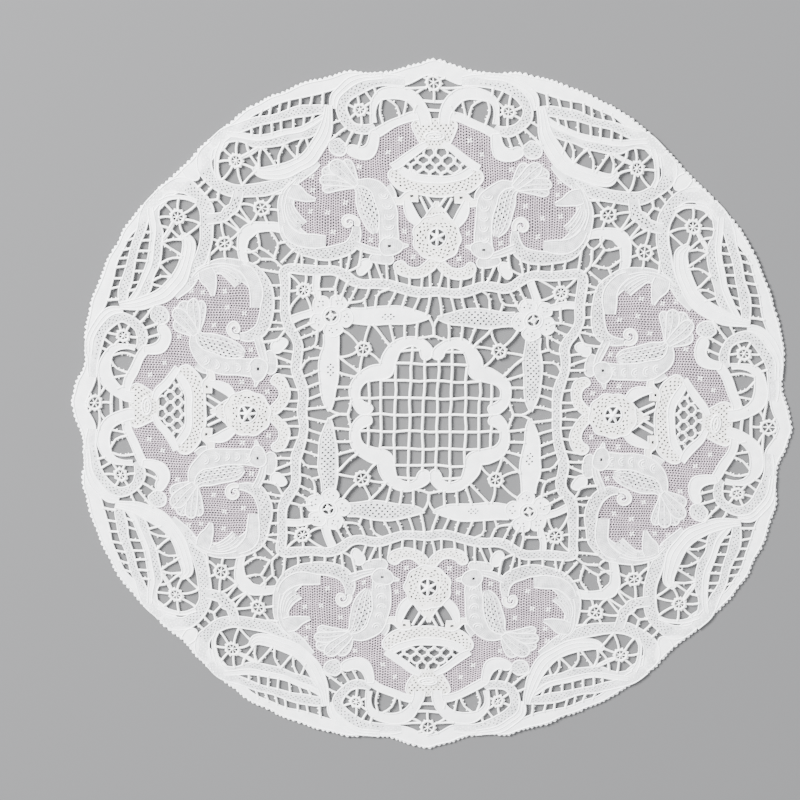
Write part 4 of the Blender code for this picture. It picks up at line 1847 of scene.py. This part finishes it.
@dataclass(frozen=True)
class Studio:
    """The pale floor, soft lights and camera."""

    floor_size: float = 4.0
    floor_tone: tuple[float, float, float] = (0.105, 0.105, 0.107)
    floor_roughness: float = 0.9
    floor_gloss: float = 0.1
    key: Lamp = ((-1.3, 1.0, 1.0), 0.6, 250.0)
    fill: Lamp = ((1.2, -0.6, 1.4), 1.2, 30.0)
    dome_tone: tuple[float, float, float] = (0.95, 0.97, 1.0)
    dome_strength: float = 1.1
    tilt: float = 16.6  # of the camera, from straight down
    bearing: float = 1.15  # how far the camera stands round the lace, anticlockwise
    distance: float = 1.3
    lens: float = 162.0
    aim: Place = (-0.0109, 0.0055)
    clip: Place = (0.05, 20.0)  # nearest and farthest distance seen, m

    def floor(self) -> None:
        """A plain floor under the lace."""
        bm = bmesh.new()
        bmesh.ops.create_grid(bm, x_segments=2, y_segments=2, size=self.floor_size / 2)
        mesh = bpy.data.meshes.new("floor")
        bm.to_mesh(mesh)
        bm.free()
        material = bpy.data.materials.new("plain_floor")
        material.use_nodes = True
        shader = material.node_tree.nodes["Principled BSDF"]
        shader.inputs["Base Color"].default_value = (*self.floor_tone, 1.0)
        shader.inputs["Roughness"].default_value = self.floor_roughness
        shader.inputs["Specular IOR Level"].default_value = self.floor_gloss
        mesh.materials.append(material)
        floor = bpy.data.objects.new("floor", mesh)
        bpy.context.scene.collection.objects.link(floor)

    def light(self, name: str, lamp: Lamp) -> None:
        """A square soft light that faces the lace.

        Args:
            name: the light's name.
            lamp: where it hangs, its side and its power.
        """
        place, size, power = lamp
        data = bpy.data.lights.new(name, "AREA")
        data.size = size
        data.energy = power
        light = bpy.data.objects.new(name, data)
        light.location = place
        light.rotation_euler = (-Vector(place)).to_track_quat("-Z", "Y").to_euler()
        bpy.context.scene.collection.objects.link(light)

    def lights(self) -> None:
        """A key from the upper left, a fill from the right and a soft dome."""
        self.light("key", self.key)
        self.light("fill", self.fill)
        world = bpy.data.worlds.new("soft_dome")
        world.use_nodes = True
        background = world.node_tree.nodes["Background"]
        background.inputs["Color"].default_value = (*self.dome_tone, 1.0)
        background.inputs["Strength"].default_value = self.dome_strength
        bpy.context.scene.world = world

    def camera(self) -> None:
        """A long lens, almost overhead, from the far side of the lace."""
        tilt = math.radians(self.tilt)
        back = Vector((0.0, math.sin(tilt), math.cos(tilt)))
        right = Vector((1.0, 0.0, 0.0))
        up = back.cross(right)
        round_lace = Matrix.Rotation(math.radians(self.bearing), 4, "Z")
        data = bpy.data.cameras.new("camera")
        data.lens = self.lens
        data.clip_start, data.clip_end = self.clip
        camera = bpy.data.objects.new("camera", data)
        turn = Matrix((right, up, back)).transposed().to_4x4()
        stand = Matrix.Translation(Vector((*self.aim, 0.0)) + back * self.distance)
        camera.matrix_world = round_lace @ stand @ turn
        bpy.context.scene.collection.objects.link(camera)
        bpy.context.scene.camera = camera


def main() -> None:
    """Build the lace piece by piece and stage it."""
    logging.basicConfig(level=logging.INFO, format="%(name)s: %(message)s")
    lie = Lie()
    ground = Ground()
    edge, leaves, medallion, urn, bird, net = Edge(), SquareFrame(), Medallion(), Urn(), Bird(), PanelNet()
    grounds = (edge, Border(), Corner(), Braid(), leaves)
    groups = {
        "ground": [band for part in grounds for band in part.bands()],
        "medallion": medallion.bands(),
        "urn": urn.bands(),
        "bird": bird.bands(),
        "scroll": Scroll().bands(),
    }
    ground.cover([band for bands in groups.values() for band in bands])
    # The pinholed finish is darkened with painted shade.
    plain_finishes = (CLOSE_WHITE, CLOSE_CREAM, CLOSE_DOTTED_SHADED)
    # The birds' and scrolls' plain and pinholed work both take the figure finish, which is darkened with
    # painted shade.
    figure_shaded_finishes = {name: (CLOSE_FIGURE_SHADED, CLOSE_CREAM, CLOSE_FIGURE_SHADED) for name in ("bird", "scroll")}
    pieces = []
    for name, bands in groups.items():
        finishes = figure_shaded_finishes.get(name, plain_finishes)
        pieces.append(dressed(joined(f"{name}_lace", bands, lie), *finishes))
        cords = Skein()
        outline_cords(bands, cords, ground)
        pieces.append(dressed(cords.mesh(f"{name}_cord", lie, 1), CORD_WHITE, sharp=STRAND_SHARP))
    bars, wheels, fine, blossoms, loops, figures = (Skein() for _ in range(6))
    Bars().threads(bars, ground)
    leaves.threads(bars)
    medallion.threads(bars, ground)
    for wheel in WHEELS:
        wheel.threads(wheels, ground)
    net.threads(fine)
    net.blossoms(blossoms)
    edge.loops(loops)
    urn.threads(figures, ground)
    bird.threads(figures)
    strands = (
        ("bars", bars, 1, BAR_WHITE),
        ("wheels", wheels, 1, BAR_WHITE),
        ("net", fine, 0, NET_PAINTED_SHADE),
        ("net_flowers", blossoms, 1, BAR_WHITE),
        ("edge_loops", loops, 1, CORD_WHITE),
        ("figure_threads", figures, 1, CORD_WHITE),
    )
    for name, skein, roundness, finish in strands:
        pieces.append(dressed(skein.mesh(name, lie, roundness), finish, sharp=STRAND_SHARP))
    cloth = pieces[0]
    for piece in pieces:
        piece.data.calc_loop_triangles()
        log.info("%s: %d triangles", piece.name, len(piece.data.loop_triangles))
    area = sum(face.area for face in cloth.data.polygons) / 2
    log.info("close work of the ground: %.4f m2 a side", area)
    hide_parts("doily")
    studio = Studio()
    studio.floor()
    studio.lights()
    studio.camera()


if __name__ == "__main__":
    main()
